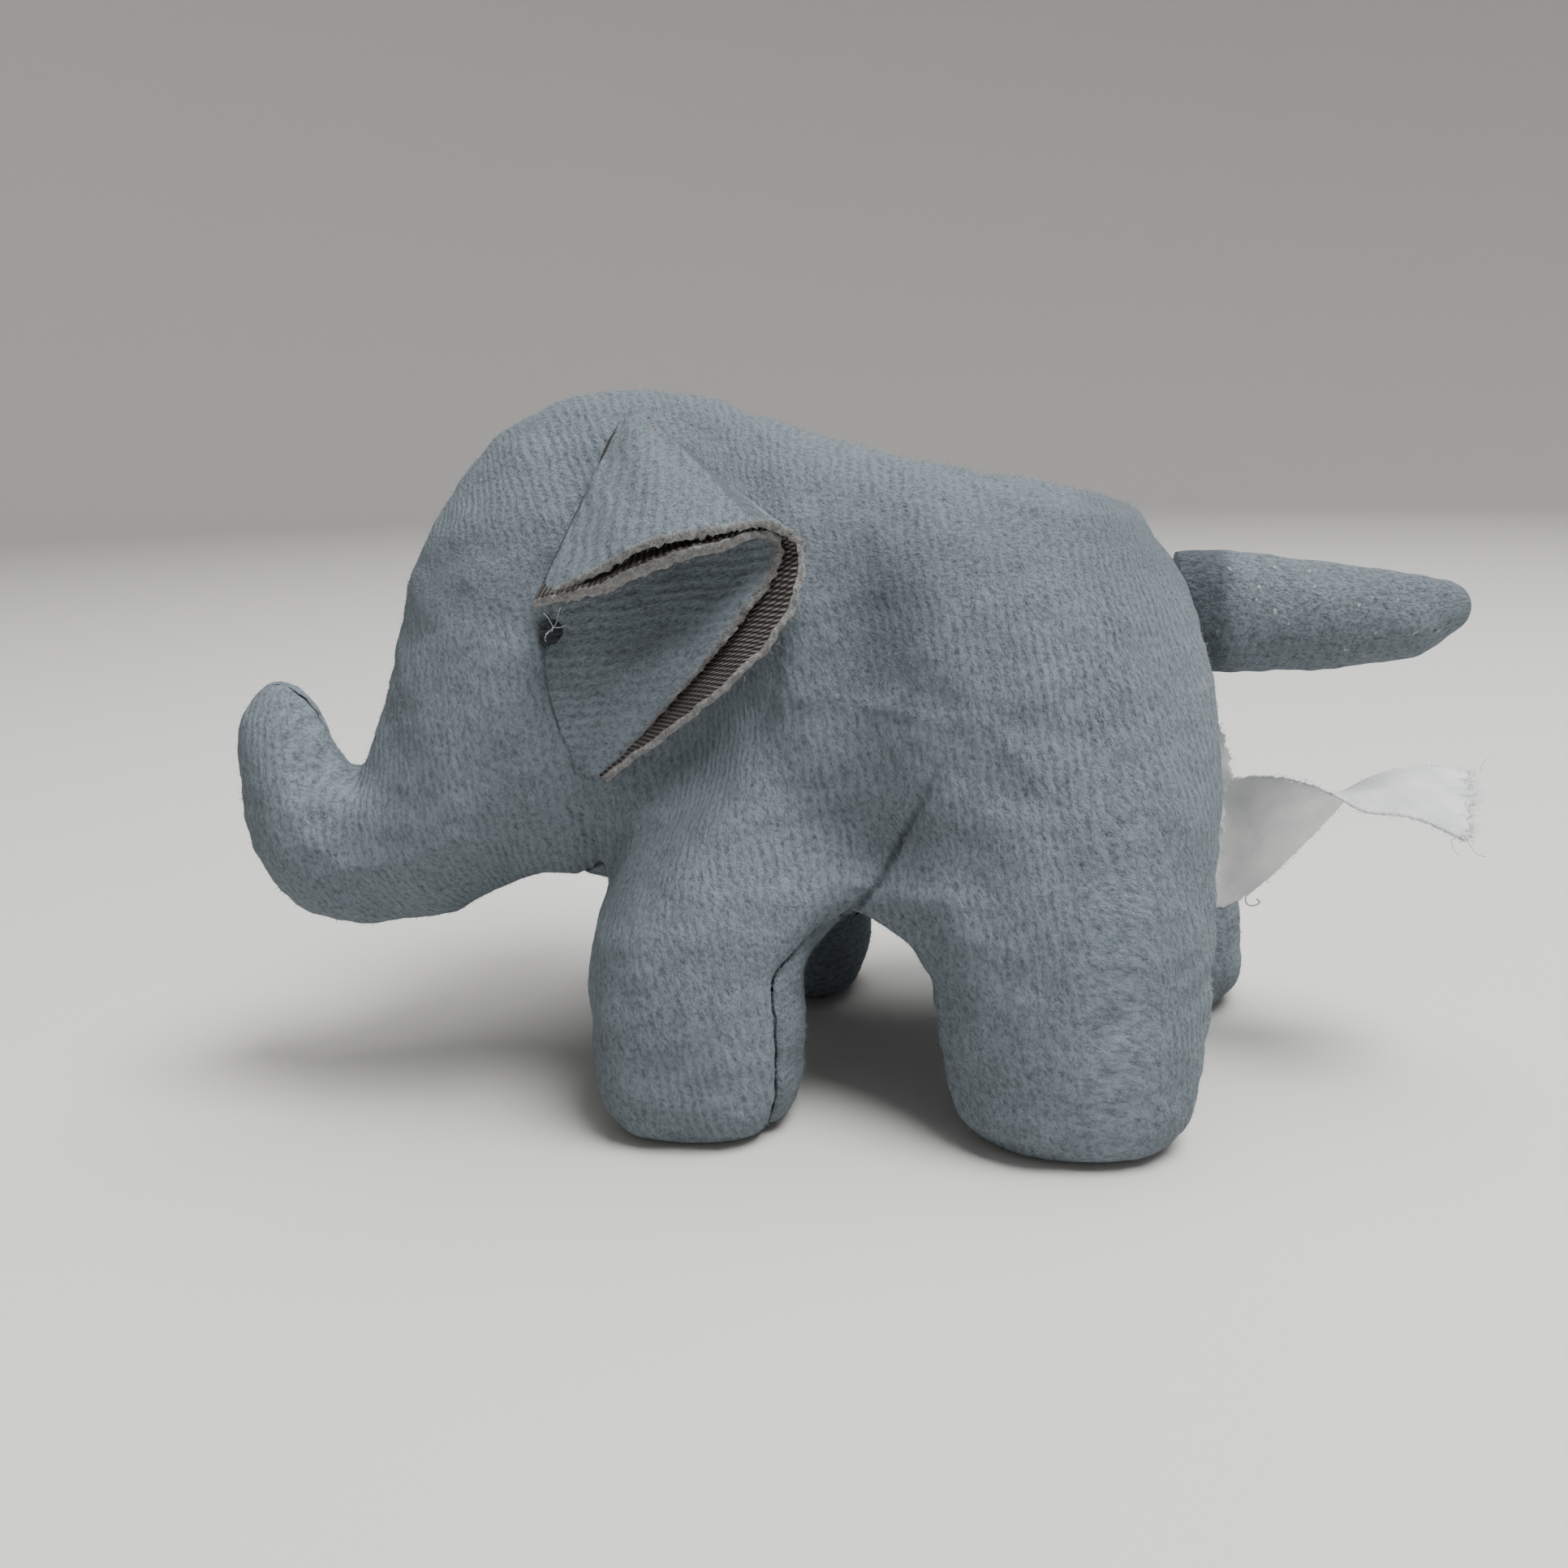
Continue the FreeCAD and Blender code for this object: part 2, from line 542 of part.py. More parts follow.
def ear(side, sign):
    """Two layers of velour, the top of both folded forwards over the front of the ear."""
    top, low, edge, flap, outwards, hinge = ear_corners(sign)
    start = outwards * size("ear_clear")
    first = top + start + hinge * size("seam_half")
    main = [first, edge["fold"], edge["tip"], edge["rim"], edge["foot"], low + start]
    roof = [first, edge["fold"], flap]
    back = outwards.cross(hinge).normalize()
    if back.dot(TURN.multVec(Vector(0, -sign, 0))) < 0:
        back = -back
    over = (edge["fold"] - first).cross(flap - first).normalize()
    if over.z < 0:
        over = -over
    layer = size("ear_layer")
    gap = size("ear_layer_gap")

    def folded(name, lowest, highest):
        main_plate = plate(f"{name}_main", main, back, lowest, highest - lowest)
        return main_plate, plate(f"{name}_roof", roof, over, lowest, highest - lowest)

    def hollow(name, offset):
        return common(name, below(f"{name}_main", first, back, offset),
                      below(f"{name}_roof", first, over, offset))

    inner_shell = fuse(f"{side}_inner_shell", *folded(f"{side}_inner", -layer, gap))
    ridge = cone_between(f"{side}_ridge", roof[0], roof[1], "Sizes.ear_ridge_radius",
                         "Sizes.ear_ridge_radius")
    inside_fold = hollow(f"{side}_inside_fold", 0.0)
    node(f"{side}_ear_inner_layer", common(f"{side}_ear_inner_layer", inner_shell, inside_fold))
    ear_hollow = hollow(f"{side}_ear_hollow", gap)
    outer_parts = [
        cut(f"{side}_outer_{index}", part, ear_hollow)
        for index, part in enumerate((ridge, *folded(f"{side}_outer", 0.0, gap + layer)))
    ]
    node(f"{side}_ear_outer_layer", fuse(f"{side}_ear_outer_layer", *outer_parts))


for side, sign in SIDES.items():
    ear(side, sign)

# --- check everything, then write one file for each sub-part ----------------------------------------
doc.recompute()
for feature in doc.Objects:
    if {"Invalid", "Error"} & set(feature.State):
        raise RuntimeError(f"{feature.Label} failed: {feature.State}")
for feature in nodes:
    if feature.Shape.isNull() or not feature.Shape.isValid() or not feature.Shape.Solids:
        raise RuntimeError(f"{feature.Label} has no valid solid")

os.makedirs("parts", exist_ok=True)
whole = FreeCAD.BoundBox()
for feature in nodes:
    whole.add(feature.Shape.BoundBox)
    feature.Shape.exportStep(f"parts/{feature.Label}.step")
    solids = len(feature.Shape.Solids)
    print(f"{feature.Label:28s} {feature.Shape.Volume:10.2f} mm3  {solids} solid(s)")
print(f"{len(nodes)} nodes, box {whole}")
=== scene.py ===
"""A small stuffed elephant of grey velour, built in Blender round its CAD frame.

Shapes are worked out in millimetres in a straight pattern: how far ahead of the rump, how far to
the right of the middle, and how high. to_toy() turns the head to the elephant's left, and
mesh_object() changes millimetres to metres.
"""
import json
import math

import bpy
import numpy as np
from mathutils import Matrix, Vector


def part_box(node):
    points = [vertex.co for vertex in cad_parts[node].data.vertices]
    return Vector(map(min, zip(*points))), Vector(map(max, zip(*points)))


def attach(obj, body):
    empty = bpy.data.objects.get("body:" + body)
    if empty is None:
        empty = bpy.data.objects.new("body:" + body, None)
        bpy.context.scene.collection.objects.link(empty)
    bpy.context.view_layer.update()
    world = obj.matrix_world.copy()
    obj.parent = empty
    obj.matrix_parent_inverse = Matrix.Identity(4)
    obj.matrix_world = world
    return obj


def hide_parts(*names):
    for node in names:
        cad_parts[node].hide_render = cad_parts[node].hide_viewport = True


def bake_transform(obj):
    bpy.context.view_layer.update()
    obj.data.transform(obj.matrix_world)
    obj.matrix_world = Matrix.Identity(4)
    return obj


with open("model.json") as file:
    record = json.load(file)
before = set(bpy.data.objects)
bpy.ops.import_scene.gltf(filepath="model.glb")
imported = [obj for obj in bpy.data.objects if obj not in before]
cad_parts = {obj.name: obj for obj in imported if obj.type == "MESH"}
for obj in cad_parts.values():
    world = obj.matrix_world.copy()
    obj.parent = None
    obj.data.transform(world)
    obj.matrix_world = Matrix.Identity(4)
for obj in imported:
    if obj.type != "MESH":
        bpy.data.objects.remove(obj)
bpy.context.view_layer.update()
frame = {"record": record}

MM = 0.001

# --- places from the frame ----------------------------------------------------------------------
JOINTS = {joint["name"]: joint for joint in frame["record"]["behaviour"]["joints"]}


def middle_of(node):
    low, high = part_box(node)
    return (np.array(low) + np.array(high)) / 2 / MM


TAIL_ROOT = middle_of("tail_knot")
TAIL_BEHIND = 0.3                       # the tail's root, behind the rump
RUMP = TAIL_ROOT[0] - TAIL_BEHIND
TRUNK_AXIS = JOINTS["trunk_curl"]["axis"]
TURN = math.atan2(-TRUNK_AXIS[0], TRUNK_AXIS[1])
NECK = 50.0                             # the neck line, ahead of the rump
NECK_START, NECK_END = 41.0, 60.0       # the head's turn is spread over this stretch
CHEST_START, CHEST_END = 57.0, 80.0     # and over this one low down, so that the legs stay straight
CHEST_LOW, CHEST_HIGH = 14.0, 44.0
SET_BACK = 4.0                          # the right legs stand this much further back
SPLAY = [(0, 11.3), (12, 9.6), (24, 6.8), (34, 2.6), (44, 0.0)]  # the right hind leg, by height


def smooth_step(t):
    t = np.clip(t, 0.0, 1.0)
    return t * t * (3.0 - 2.0 * t)


def turned_at_neck(points, turn):
    ahead, right, high = np.asarray(points, float).T
    x = NECK - ahead
    return np.stack([RUMP - NECK + x * np.cos(turn) - right * np.sin(turn),
                     x * np.sin(turn) + right * np.cos(turn), high], axis=1)


def to_toy(points):
    """From the straight pattern to the toy, in millimetres."""
    ahead, _, high = np.asarray(points, float).T
    low = smooth_step((CHEST_HIGH - high) / (CHEST_HIGH - CHEST_LOW))
    start = NECK_START + (CHEST_START - NECK_START) * low
    end = NECK_END + (CHEST_END - NECK_END) * low
    return turned_at_neck(points, TURN * smooth_step((ahead - start) / (end - start)))


def head_to_toy(points):
    """The same for a thing that turns wholly with the head, such as an ear."""
    return turned_at_neck(points, TURN)


def unit(vectors):
    """The vectors with a length of one."""
    lengths = np.linalg.norm(vectors, axis=-1, keepdims=True)
    return vectors / np.maximum(lengths, 1e-12)


def on_head(ahead, right, high):
    """A place given ahead of the neck line, as a point of the pattern."""
    return (NECK + ahead, right, high)


# --- the shape of the body ----------------------------------------------------------------------
# The outline of the sewn side panels without their legs: how far ahead of the rump, and how high.
OUTLINE = [
    (0.0, 38.4), (0.6, 45.0), (2.1, 51.4), (5.2, 57.0), (10.0, 60.9), (16.0, 63.3), (24.0, 65.0),
    (36.5, 67.9), (45.0, 70.6), (53.0, 73.3), (61.0, 74.1), (67.5, 73.2), (74.6, 69.2), (80.0, 63.2),
    (83.4, 57.2), (85.0, 52.6), (86.2, 48.0), (88.2, 42.0), (90.0, 37.9), (91.3, 35.9), (92.5, 38.0),
    (94.2, 42.5), (96.2, 45.2), (98.6, 45.8), (101.0, 44.2), (102.5, 41.0), (102.9, 36.8),
    (102.6, 30.0), (100.6, 24.6), (97.2, 20.9), (92.2, 19.2), (87.0, 19.1), (82.1, 19.8),
    (77.5, 21.7), (72.5, 23.4), (66.0, 21.5), (55.0, 20.8), (44.0, 21.0), (30.0, 21.2),
    (18.0, 19.5), (9.0, 18.5), (3.5, 21.5), (0.8, 28.0),
]
# Half of the body's width, at stations ahead of the rump.
HALF_WIDTH = [
    (0, 12.0), (3, 16.0), (9, 20.0), (18, 22.2), (30, 22.3), (40, 21.0), (47, 18.0), (53, 16.2),
    (60, 16.6), (68, 16.6), (75, 15.4), (81, 13.6), (86, 11.2), (90, 9.0), (94, 8.3), (99, 7.6),
    (104, 7.0),
]
GRID_2D = 0.5
GRID_3D = 0.7


def closed_curve(points, steps=10):
    """A closed Catmull-Rom curve through the points."""
    points = np.asarray(points, float)
    before, after, later = (np.roll(points, shift, axis=0) for shift in (1, -1, -2))
    pieces = []
    for t in np.arange(steps) / steps:
        pieces.append(0.5 * (2 * points + (after - before) * t
                             + (2 * before - 5 * points + 4 * after - later) * t ** 2
                             + (3 * points - before - 3 * after + later) * t ** 3))
    return np.stack(pieces, axis=1).reshape(-1, points.shape[1])


def lengths_along(line):
    return np.concatenate([[0], np.cumsum(np.linalg.norm(np.diff(line, axis=0), axis=1))])


def open_curve(points, count):
    """A smooth curve through the points, with its own count of places evenly spaced along it."""
    points = np.asarray(points, float)
    ends = np.vstack([2 * points[0] - points[1], points, 2 * points[-1] - points[-2]])
    fine = []
    for index in range(1, len(ends) - 2):
        before, here, after, later = ends[index - 1:index + 3]
        for t in np.arange(16) / 16:
            fine.append(0.5 * (2 * here + (after - before) * t
                               + (2 * before - 5 * here + 4 * after - later) * t ** 2
                               + (3 * here - before - 3 * after + later) * t ** 3))
    fine = np.vstack([fine, points[-1]])
    along = lengths_along(fine)
    places = np.linspace(0, along[-1], count)
    return np.stack([np.interp(places, along, column) for column in fine.T], axis=1)


def outline_distance(points, outline):
    """How far points lie inside a closed outline; negative outside."""
    start, end = outline, np.roll(outline, -1, axis=0)
    nearest = np.full(len(points), np.inf)
    crossings = np.zeros(len(points), int)
    for a, b in zip(start, end):
        edge = b - a
        t = np.clip(((points - a) @ edge) / max(edge @ edge, 1e-12), 0, 1)
        gap = points - a - t[:, None] * edge
        nearest = np.minimum(nearest, (gap ** 2).sum(axis=1))
        spans = (a[1] > points[:, 1]) != (b[1] > points[:, 1])
        if a[1] != b[1]:
            where = a[0] + (points[:, 1] - a[1]) / (b[1] - a[1]) * edge[0]
            crossings += spans & (points[:, 0] < where)
    return np.sqrt(nearest) * np.where(crossings % 2 == 1, 1, -1)


def blur(values, times):
    for _ in range(times):
        for axis in (0, 1):
            values = (np.roll(values, 1, axis) + 2 * values + np.roll(values, -1, axis)) / 4
    return values


RELAX, RELAX_TIMES = 1.93, 260          # over-relaxation of the stretched skin's equation
EDGE_REACH = 0.8                        # nearer the outline the slope is taken from further in
LEAST_SLOPE = 6.0                       # how fast the bulge falls away outside the outline
FITTED_FROM, FITTED_TO = 3.0, 99.5      # HALF_WIDTH is followed between these stations


def inflate():
    """How far the stuffed panels bulge: the square of the half width over the pattern, on a grid.

    A panel's bulge solves the equation of a stretched skin under even pressure, which is what
    stuffing gives. Near the outline it is proportional to the distance from it.
    """
    outline = closed_curve(OUTLINE)
    ahead = np.arange(-5.0, 110.0, GRID_2D)
    high = np.arange(10.0, 82.0, GRID_2D)
    grid = np.stack(np.meshgrid(ahead, high, indexing="ij"), axis=-1).reshape(-1, 2)
    distance = outline_distance(grid, outline).reshape(len(ahead), len(high))
    inside = distance > 0
    bulge = np.where(inside, distance, 0.0) * 10
    checker = (np.add.outer(np.arange(len(ahead)), np.arange(len(high))) % 2).astype(bool)
    for _ in range(RELAX_TIMES):
        for colour in (checker, ~checker):
            around = (np.roll(bulge, 1, 0) + np.roll(bulge, -1, 0)
                      + np.roll(bulge, 1, 1) + np.roll(bulge, -1, 1))
            new = (around + 4 * GRID_2D ** 2) / 4
            here = inside & colour
            bulge[here] += RELAX * (new[here] - bulge[here])
    known = (distance > EDGE_REACH).astype(float)
    slope = np.where(known > 0, bulge / np.maximum(distance, EDGE_REACH), 0.0)
    beyond = blur(slope, 110) / np.maximum(blur(known, 110), 1e-12)
    slope = blur(slope, 10) / np.maximum(blur(known, 10), 1e-6)
    slope = np.where(inside, slope, np.maximum(beyond, LEAST_SLOPE))
    widest = np.sqrt(np.maximum((slope * np.maximum(distance, 0)).max(axis=1), 4.0))
    wanted = np.interp(ahead, *np.array(HALF_WIDTH, float).T)
    ratio = np.clip(wanted / widest, 0.5, 1.5)
    whole = (ahead > FITTED_FROM) & (ahead < FITTED_TO)
    ratio = np.interp(ahead, ahead[whole], ratio[whole])
    scale = blur(ratio[:, None].repeat(3, axis=1), 14)[:, 1]
    return ahead, high, slope * distance * (scale ** 2)[:, None]


def sample_2d(ahead, high, values, at_ahead, at_high):
    """Bilinear look-up on the pattern's grid."""
    u = np.clip((at_ahead - ahead[0]) / GRID_2D, 0, len(ahead) - 1.001)
    v = np.clip((at_high - high[0]) / GRID_2D, 0, len(high) - 1.001)
    i, j = u.astype(int), v.astype(int)
    a, b = u - i, v - j
    return (values[i, j] * (1 - a) * (1 - b) + values[i + 1, j] * a * (1 - b)
            + values[i, j + 1] * (1 - a) * b + values[i + 1, j + 1] * a * b)


# A leg is an upright column: height, half length, half width, shift ahead, lean inwards.
FRONT_LEG = {"middle": 52.5, "sections": [
    (0.0, 11.0, 9.2, -0.2, 0.0), (5.0, 11.2, 9.5, 0.0, 0.0), (12.0, 11.6, 9.6, 0.0, 0.0),
    (22.0, 11.7, 9.4, 0.4, 0.6), (34.0, 9.8, 7.8, -0.4, 3.6), (48.0, 4.5, 3.6, -2.0, 9.5),
    (58.0, 2.0, 2.0, -3.0, 13.0)]}
HIND_LEG = {"middle": 14.4, "sections": [
    (0.0, 11.4, 9.6, -0.6, 0.0), (5.0, 12.2, 9.9, -0.3, 0.0), (12.0, 13.0, 10.1, 0.0, 0.0),
    (22.0, 13.6, 9.9, 0.3, 0.4), (34.0, 12.6, 8.6, 0.4, 2.6), (48.0, 7.0, 5.2, 0.0, 8.0),
    (58.0, 3.0, 2.5, 0.0, 13.0)]}
LEG_OUT = 18.8
LEG_HIGH = 58.0                         # the columns fade out inside the body up to here
FOOT_ROUND = 5.8                        # height over which a foot rounds in to its sole
SOLE_SHARE = 0.62                       # the flat part of the sole, as a share of the foot


CORNER = 2.3                            # a leg's cross-section is an ellipse with this power


def leg_field(leg, side, ahead, right, high):
    """Negative inside one leg, and about a distance in millimetres near its surface."""
    heights, long, wide, shift, lean = np.array(leg["sections"]).T
    centre_ahead = leg["middle"] - (SET_BACK if side > 0 and leg is FRONT_LEG else 0.0)
    if side > 0 and leg is HIND_LEG:
        centre_ahead = centre_ahead - np.interp(high, *np.array(SPLAY, float).T)
    up = np.clip(high / FOOT_ROUND, 0, 1)
    round_in = SOLE_SHARE + (1 - SOLE_SHARE) * np.sqrt(np.maximum(1 - (1 - up) ** 2, 0))
    half_long = np.interp(high, heights, long) * round_in
    half_wide = np.interp(high, heights, wide) * round_in
    u = (ahead - centre_ahead - np.interp(high, heights, shift)) / half_long
    v = (right - side * (LEG_OUT - np.interp(high, heights, lean))) / half_wide
    radius = (np.abs(u) ** CORNER + np.abs(v) ** CORNER) ** (1 / CORNER)
    column = (radius - 1) * half_wide
    return np.maximum(column, np.maximum(-high, high - LEG_HIGH))


# The side panels hang down between the legs as far as this: half width, lowest height, rounding.
WEB_OUT, WEB_LOW, WEB_ROUND = 20.4, 21.2, 4.5
WEB_REAR, WEB_FRONT = 14.0, 54.0
WEB_FULL, WEB_FADE, WEB_HIGH = 26.0, 0.85, 44.0     # above the first height it narrows
WEB_BLEND, LEG_BLEND = 5.0, 8.0         # reach of the soft joins to the torso
GRID_HALF_WIDTH = 32.0
FIELD_LIMIT = 12.0                      # the torso's field is cut off at this distance


def web_field(ahead, right, high):
    """Negative inside the belly between the legs: a bar with rounded edges."""
    fade = WEB_FADE * np.maximum(high - WEB_FULL, 0)
    out = np.abs(right) - WEB_OUT + WEB_ROUND + fade
    down = WEB_LOW + WEB_ROUND - high
    edge = np.hypot(np.maximum(out, 0), np.maximum(down, 0)) + np.minimum(np.maximum(out, down), 0)
    ends = np.maximum(WEB_REAR - ahead, ahead - WEB_FRONT)
    return np.maximum(np.maximum(edge - WEB_ROUND, ends), high - WEB_HIGH)


def soft_union(a, b, radius):
    blend = np.maximum(radius - np.abs(a - b), 0) / radius
    return np.minimum(a, b) - blend ** 2 * radius / 4


def body_field(step):
    """The stuffed body on a grid of the pattern, negative inside, and the grid's axes."""
    ahead = np.arange(-13.0, 107.0, step)
    count = int(round(GRID_HALF_WIDTH / step))
    right = (np.arange(-count, count + 2) - 0.5) * step
    high = np.arange(-1.4, 78.0, step)
    map_ahead, map_high, bulge = inflate()
    flat_ahead, flat_high = np.meshgrid(ahead, high, indexing="ij")
    wide = sample_2d(map_ahead, map_high, bulge, flat_ahead, flat_high)
    square = right[None, :, None] ** 2 - wide[:, None, :]
    slopes = np.gradient(square, step)
    torso = square / np.maximum(np.sqrt(sum(slope ** 2 for slope in slopes)), 1.5)
    torso = np.clip(torso, -FIELD_LIMIT, FIELD_LIMIT)
    grid = np.meshgrid(ahead, right, high, indexing="ij")
    legs = np.full(torso.shape, 50.0)
    for leg in (FRONT_LEG, HIND_LEG):
        for side in (-1, 1):
            legs = np.minimum(legs, leg_field(leg, side, *grid))
    torso = soft_union(torso, web_field(*grid), WEB_BLEND)
    whole = soft_union(torso, legs, LEG_BLEND)
    return np.maximum(whole, -grid[2]), (ahead, right, high)


# --- surfaces from fields -----------------------------------------------------------------------
def surface_nets(field, axes):
    """A quad mesh of the surface where the field is zero."""
    step = axes[0][1] - axes[0][0]
    inside = field < 0
    cells = tuple(size - 1 for size in field.shape)
    total = np.zeros(cells + (3,))
    count = np.zeros(cells)
    index = np.meshgrid(*[np.arange(size, dtype=float) for size in field.shape], indexing="ij")
    for axis in range(3):
        low = [slice(None)] * 3
        high = [slice(None)] * 3
        low[axis], high[axis] = slice(0, -1), slice(1, None)
        low, high = tuple(low), tuple(high)
        crossing = inside[low] != inside[high]
        share = np.where(crossing, field[low] / np.where(crossing, field[low] - field[high], 1), 0)
        place = np.stack([part[low] for part in index], axis=-1)
        place[..., axis] += share
        others = [other for other in range(3) if other != axis]
        for first in (0, 1):
            for second in (0, 1):
                grid_part = [slice(None)] * 4
                grid_part[others[0]] = slice(first, field.shape[others[0]] - 1 + first)
                grid_part[others[1]] = slice(second, field.shape[others[1]] - 1 + second)
                mask = crossing[tuple(grid_part[:3])]
                total += place[tuple(grid_part)] * mask[..., None]
                count += mask
    used = count > 0
    number = np.full(cells, -1)
    number[used] = np.arange(used.sum())
    points = total[used] / count[used][:, None] * step + np.array([axis[0] for axis in axes])
    cell = np.stack(np.nonzero(used), axis=1)
    quads = []
    for axis in range(3):
        low = [slice(1, -1)] * 3
        high = [slice(1, -1)] * 3
        low[axis], high[axis] = slice(0, -1), slice(1, None)
        a, b = inside[tuple(low)], inside[tuple(high)]
        where = np.stack(np.nonzero(a != b), axis=1)
        others = [other for other in range(3) if other != axis]
        for other in others:
            where[:, other] += 1
        corner = []
        for first, second in ((-1, -1), (0, -1), (0, 0), (-1, 0)):
            spot = where.copy()
            spot[:, others[0]] += first
            spot[:, others[1]] += second
            corner.append(number[tuple(spot.T)])
        quad = np.stack(corner, axis=1)
        out = inside[tuple(where.T)]
        if axis == 1:
            out = ~out
        quad[~out] = quad[~out][:, ::-1]
        quads.append(quad)
    return points, np.vstack(quads), cell


def field_at(field, axes, points):
    """The field and its slope at any points, by trilinear look-up."""
    step = axes[0][1] - axes[0][0]
    place = (points - np.array([axis[0] for axis in axes])) / step
    place = np.clip(place, 0, np.array(field.shape) - 1.001)
    base = place.astype(int)
    part = place - base
    value = np.zeros(len(points))
    slope = np.zeros((len(points), 3))
    for corner in np.ndindex(2, 2, 2):
        sample = field[tuple((base + corner).T)]
        weights = [part[:, k] if corner[k] else 1 - part[:, k] for k in range(3)]
        value += sample * weights[0] * weights[1] * weights[2]
        for k in range(3):
            other = [weights[m] for m in range(3) if m != k]
            slope[:, k] += sample * (1 if corner[k] else -1) * other[0] * other[1] / step
    return value, slope


def settle(points, field, axes, times=3):
    """Moves points onto the field's zero surface."""
    for _ in range(times):
        value, slope = field_at(field, axes, points)
        points = points - slope * (value / np.maximum((slope ** 2).sum(axis=1), 0.2))[:, None]
    return points


def vertex_normals(points, triangles):
    a, b, c = (points[triangles[:, k]] for k in range(3))
    face = np.cross(b - a, c - a)
    normals = np.zeros_like(points)
    for k in range(3):
        np.add.at(normals, triangles[:, k], face)
    return unit(normals)


def waves(points, size, seed, count=24):
    """Smooth random lumps of about one size, from -1 to 1 for most points."""
    source = np.random.default_rng(seed)
    directions = unit(source.normal(size=(count, 3)))
    numbers = directions * (2 * math.pi / size) * source.uniform(0.7, 1.4, (count, 1))
    phases = source.uniform(0, 2 * math.pi, count)
    return np.cos(points @ numbers.T + phases).sum(axis=1) / math.sqrt(count)


def turned_out(points, faces):
    """The faces of a closed mesh, all turned the same way, with their fronts outside."""
    volume = 0.0
    for face in faces:
        a = points[face[0]]
        for k in range(1, len(face) - 1):
            volume += float(np.dot(a, np.cross(points[face[k]], points[face[k + 1]])))
    return faces if volume > 0 else [face[::-1] for face in faces]


def add_object(name, data):
    made = bpy.data.objects.new(name, data)
    bpy.context.scene.collection.objects.link(made)
    return made


def mesh_object(name, points, faces, *materials, smooth=False):
    """A Blender object from points in millimetres and faces that are already turned out."""
    mesh = bpy.data.meshes.new(name)
    mesh.from_pydata((points * MM).tolist(), [], faces)
    if smooth:
        mesh.validate(clean_customdata=False)
        mesh.shade_smooth()
    for material in materials:
        mesh.materials.append(material)
    return add_object(name, mesh)


def make_mesh(name, points, faces, *materials, attributes=None):
    """A smooth Blender object from a closed mesh in millimetres, with values at its points."""
    points = np.asarray(points, float)
    faces = [tuple(int(corner) for corner in face) for face in faces]
    made = mesh_object(name, points, turned_out(points, faces), *materials, smooth=True)
    for key, values in (attributes or {}).items():
        values = np.asarray(values, np.float32)
        kind, field_name = ("FLOAT_VECTOR", "vector") if values.ndim == 2 else ("FLOAT", "value")
        layer = made.data.attributes.new(key, kind, "POINT")
        layer.data.foreach_set(field_name, values.ravel())
    return made


def ring_faces(rings, sides):
    """Faces of a tube made of closed rings of points, with both ends closed."""
    faces = []
    for k in range(rings - 1):
        for m in range(sides):
            n = (m + 1) % sides
            faces.append((k * sides + m, k * sides + n, (k + 1) * sides + n, (k + 1) * sides + m))
    faces.append(tuple(range(sides))[::-1])
    faces.append(tuple(range((rings - 1) * sides, rings * sides)))
    return faces


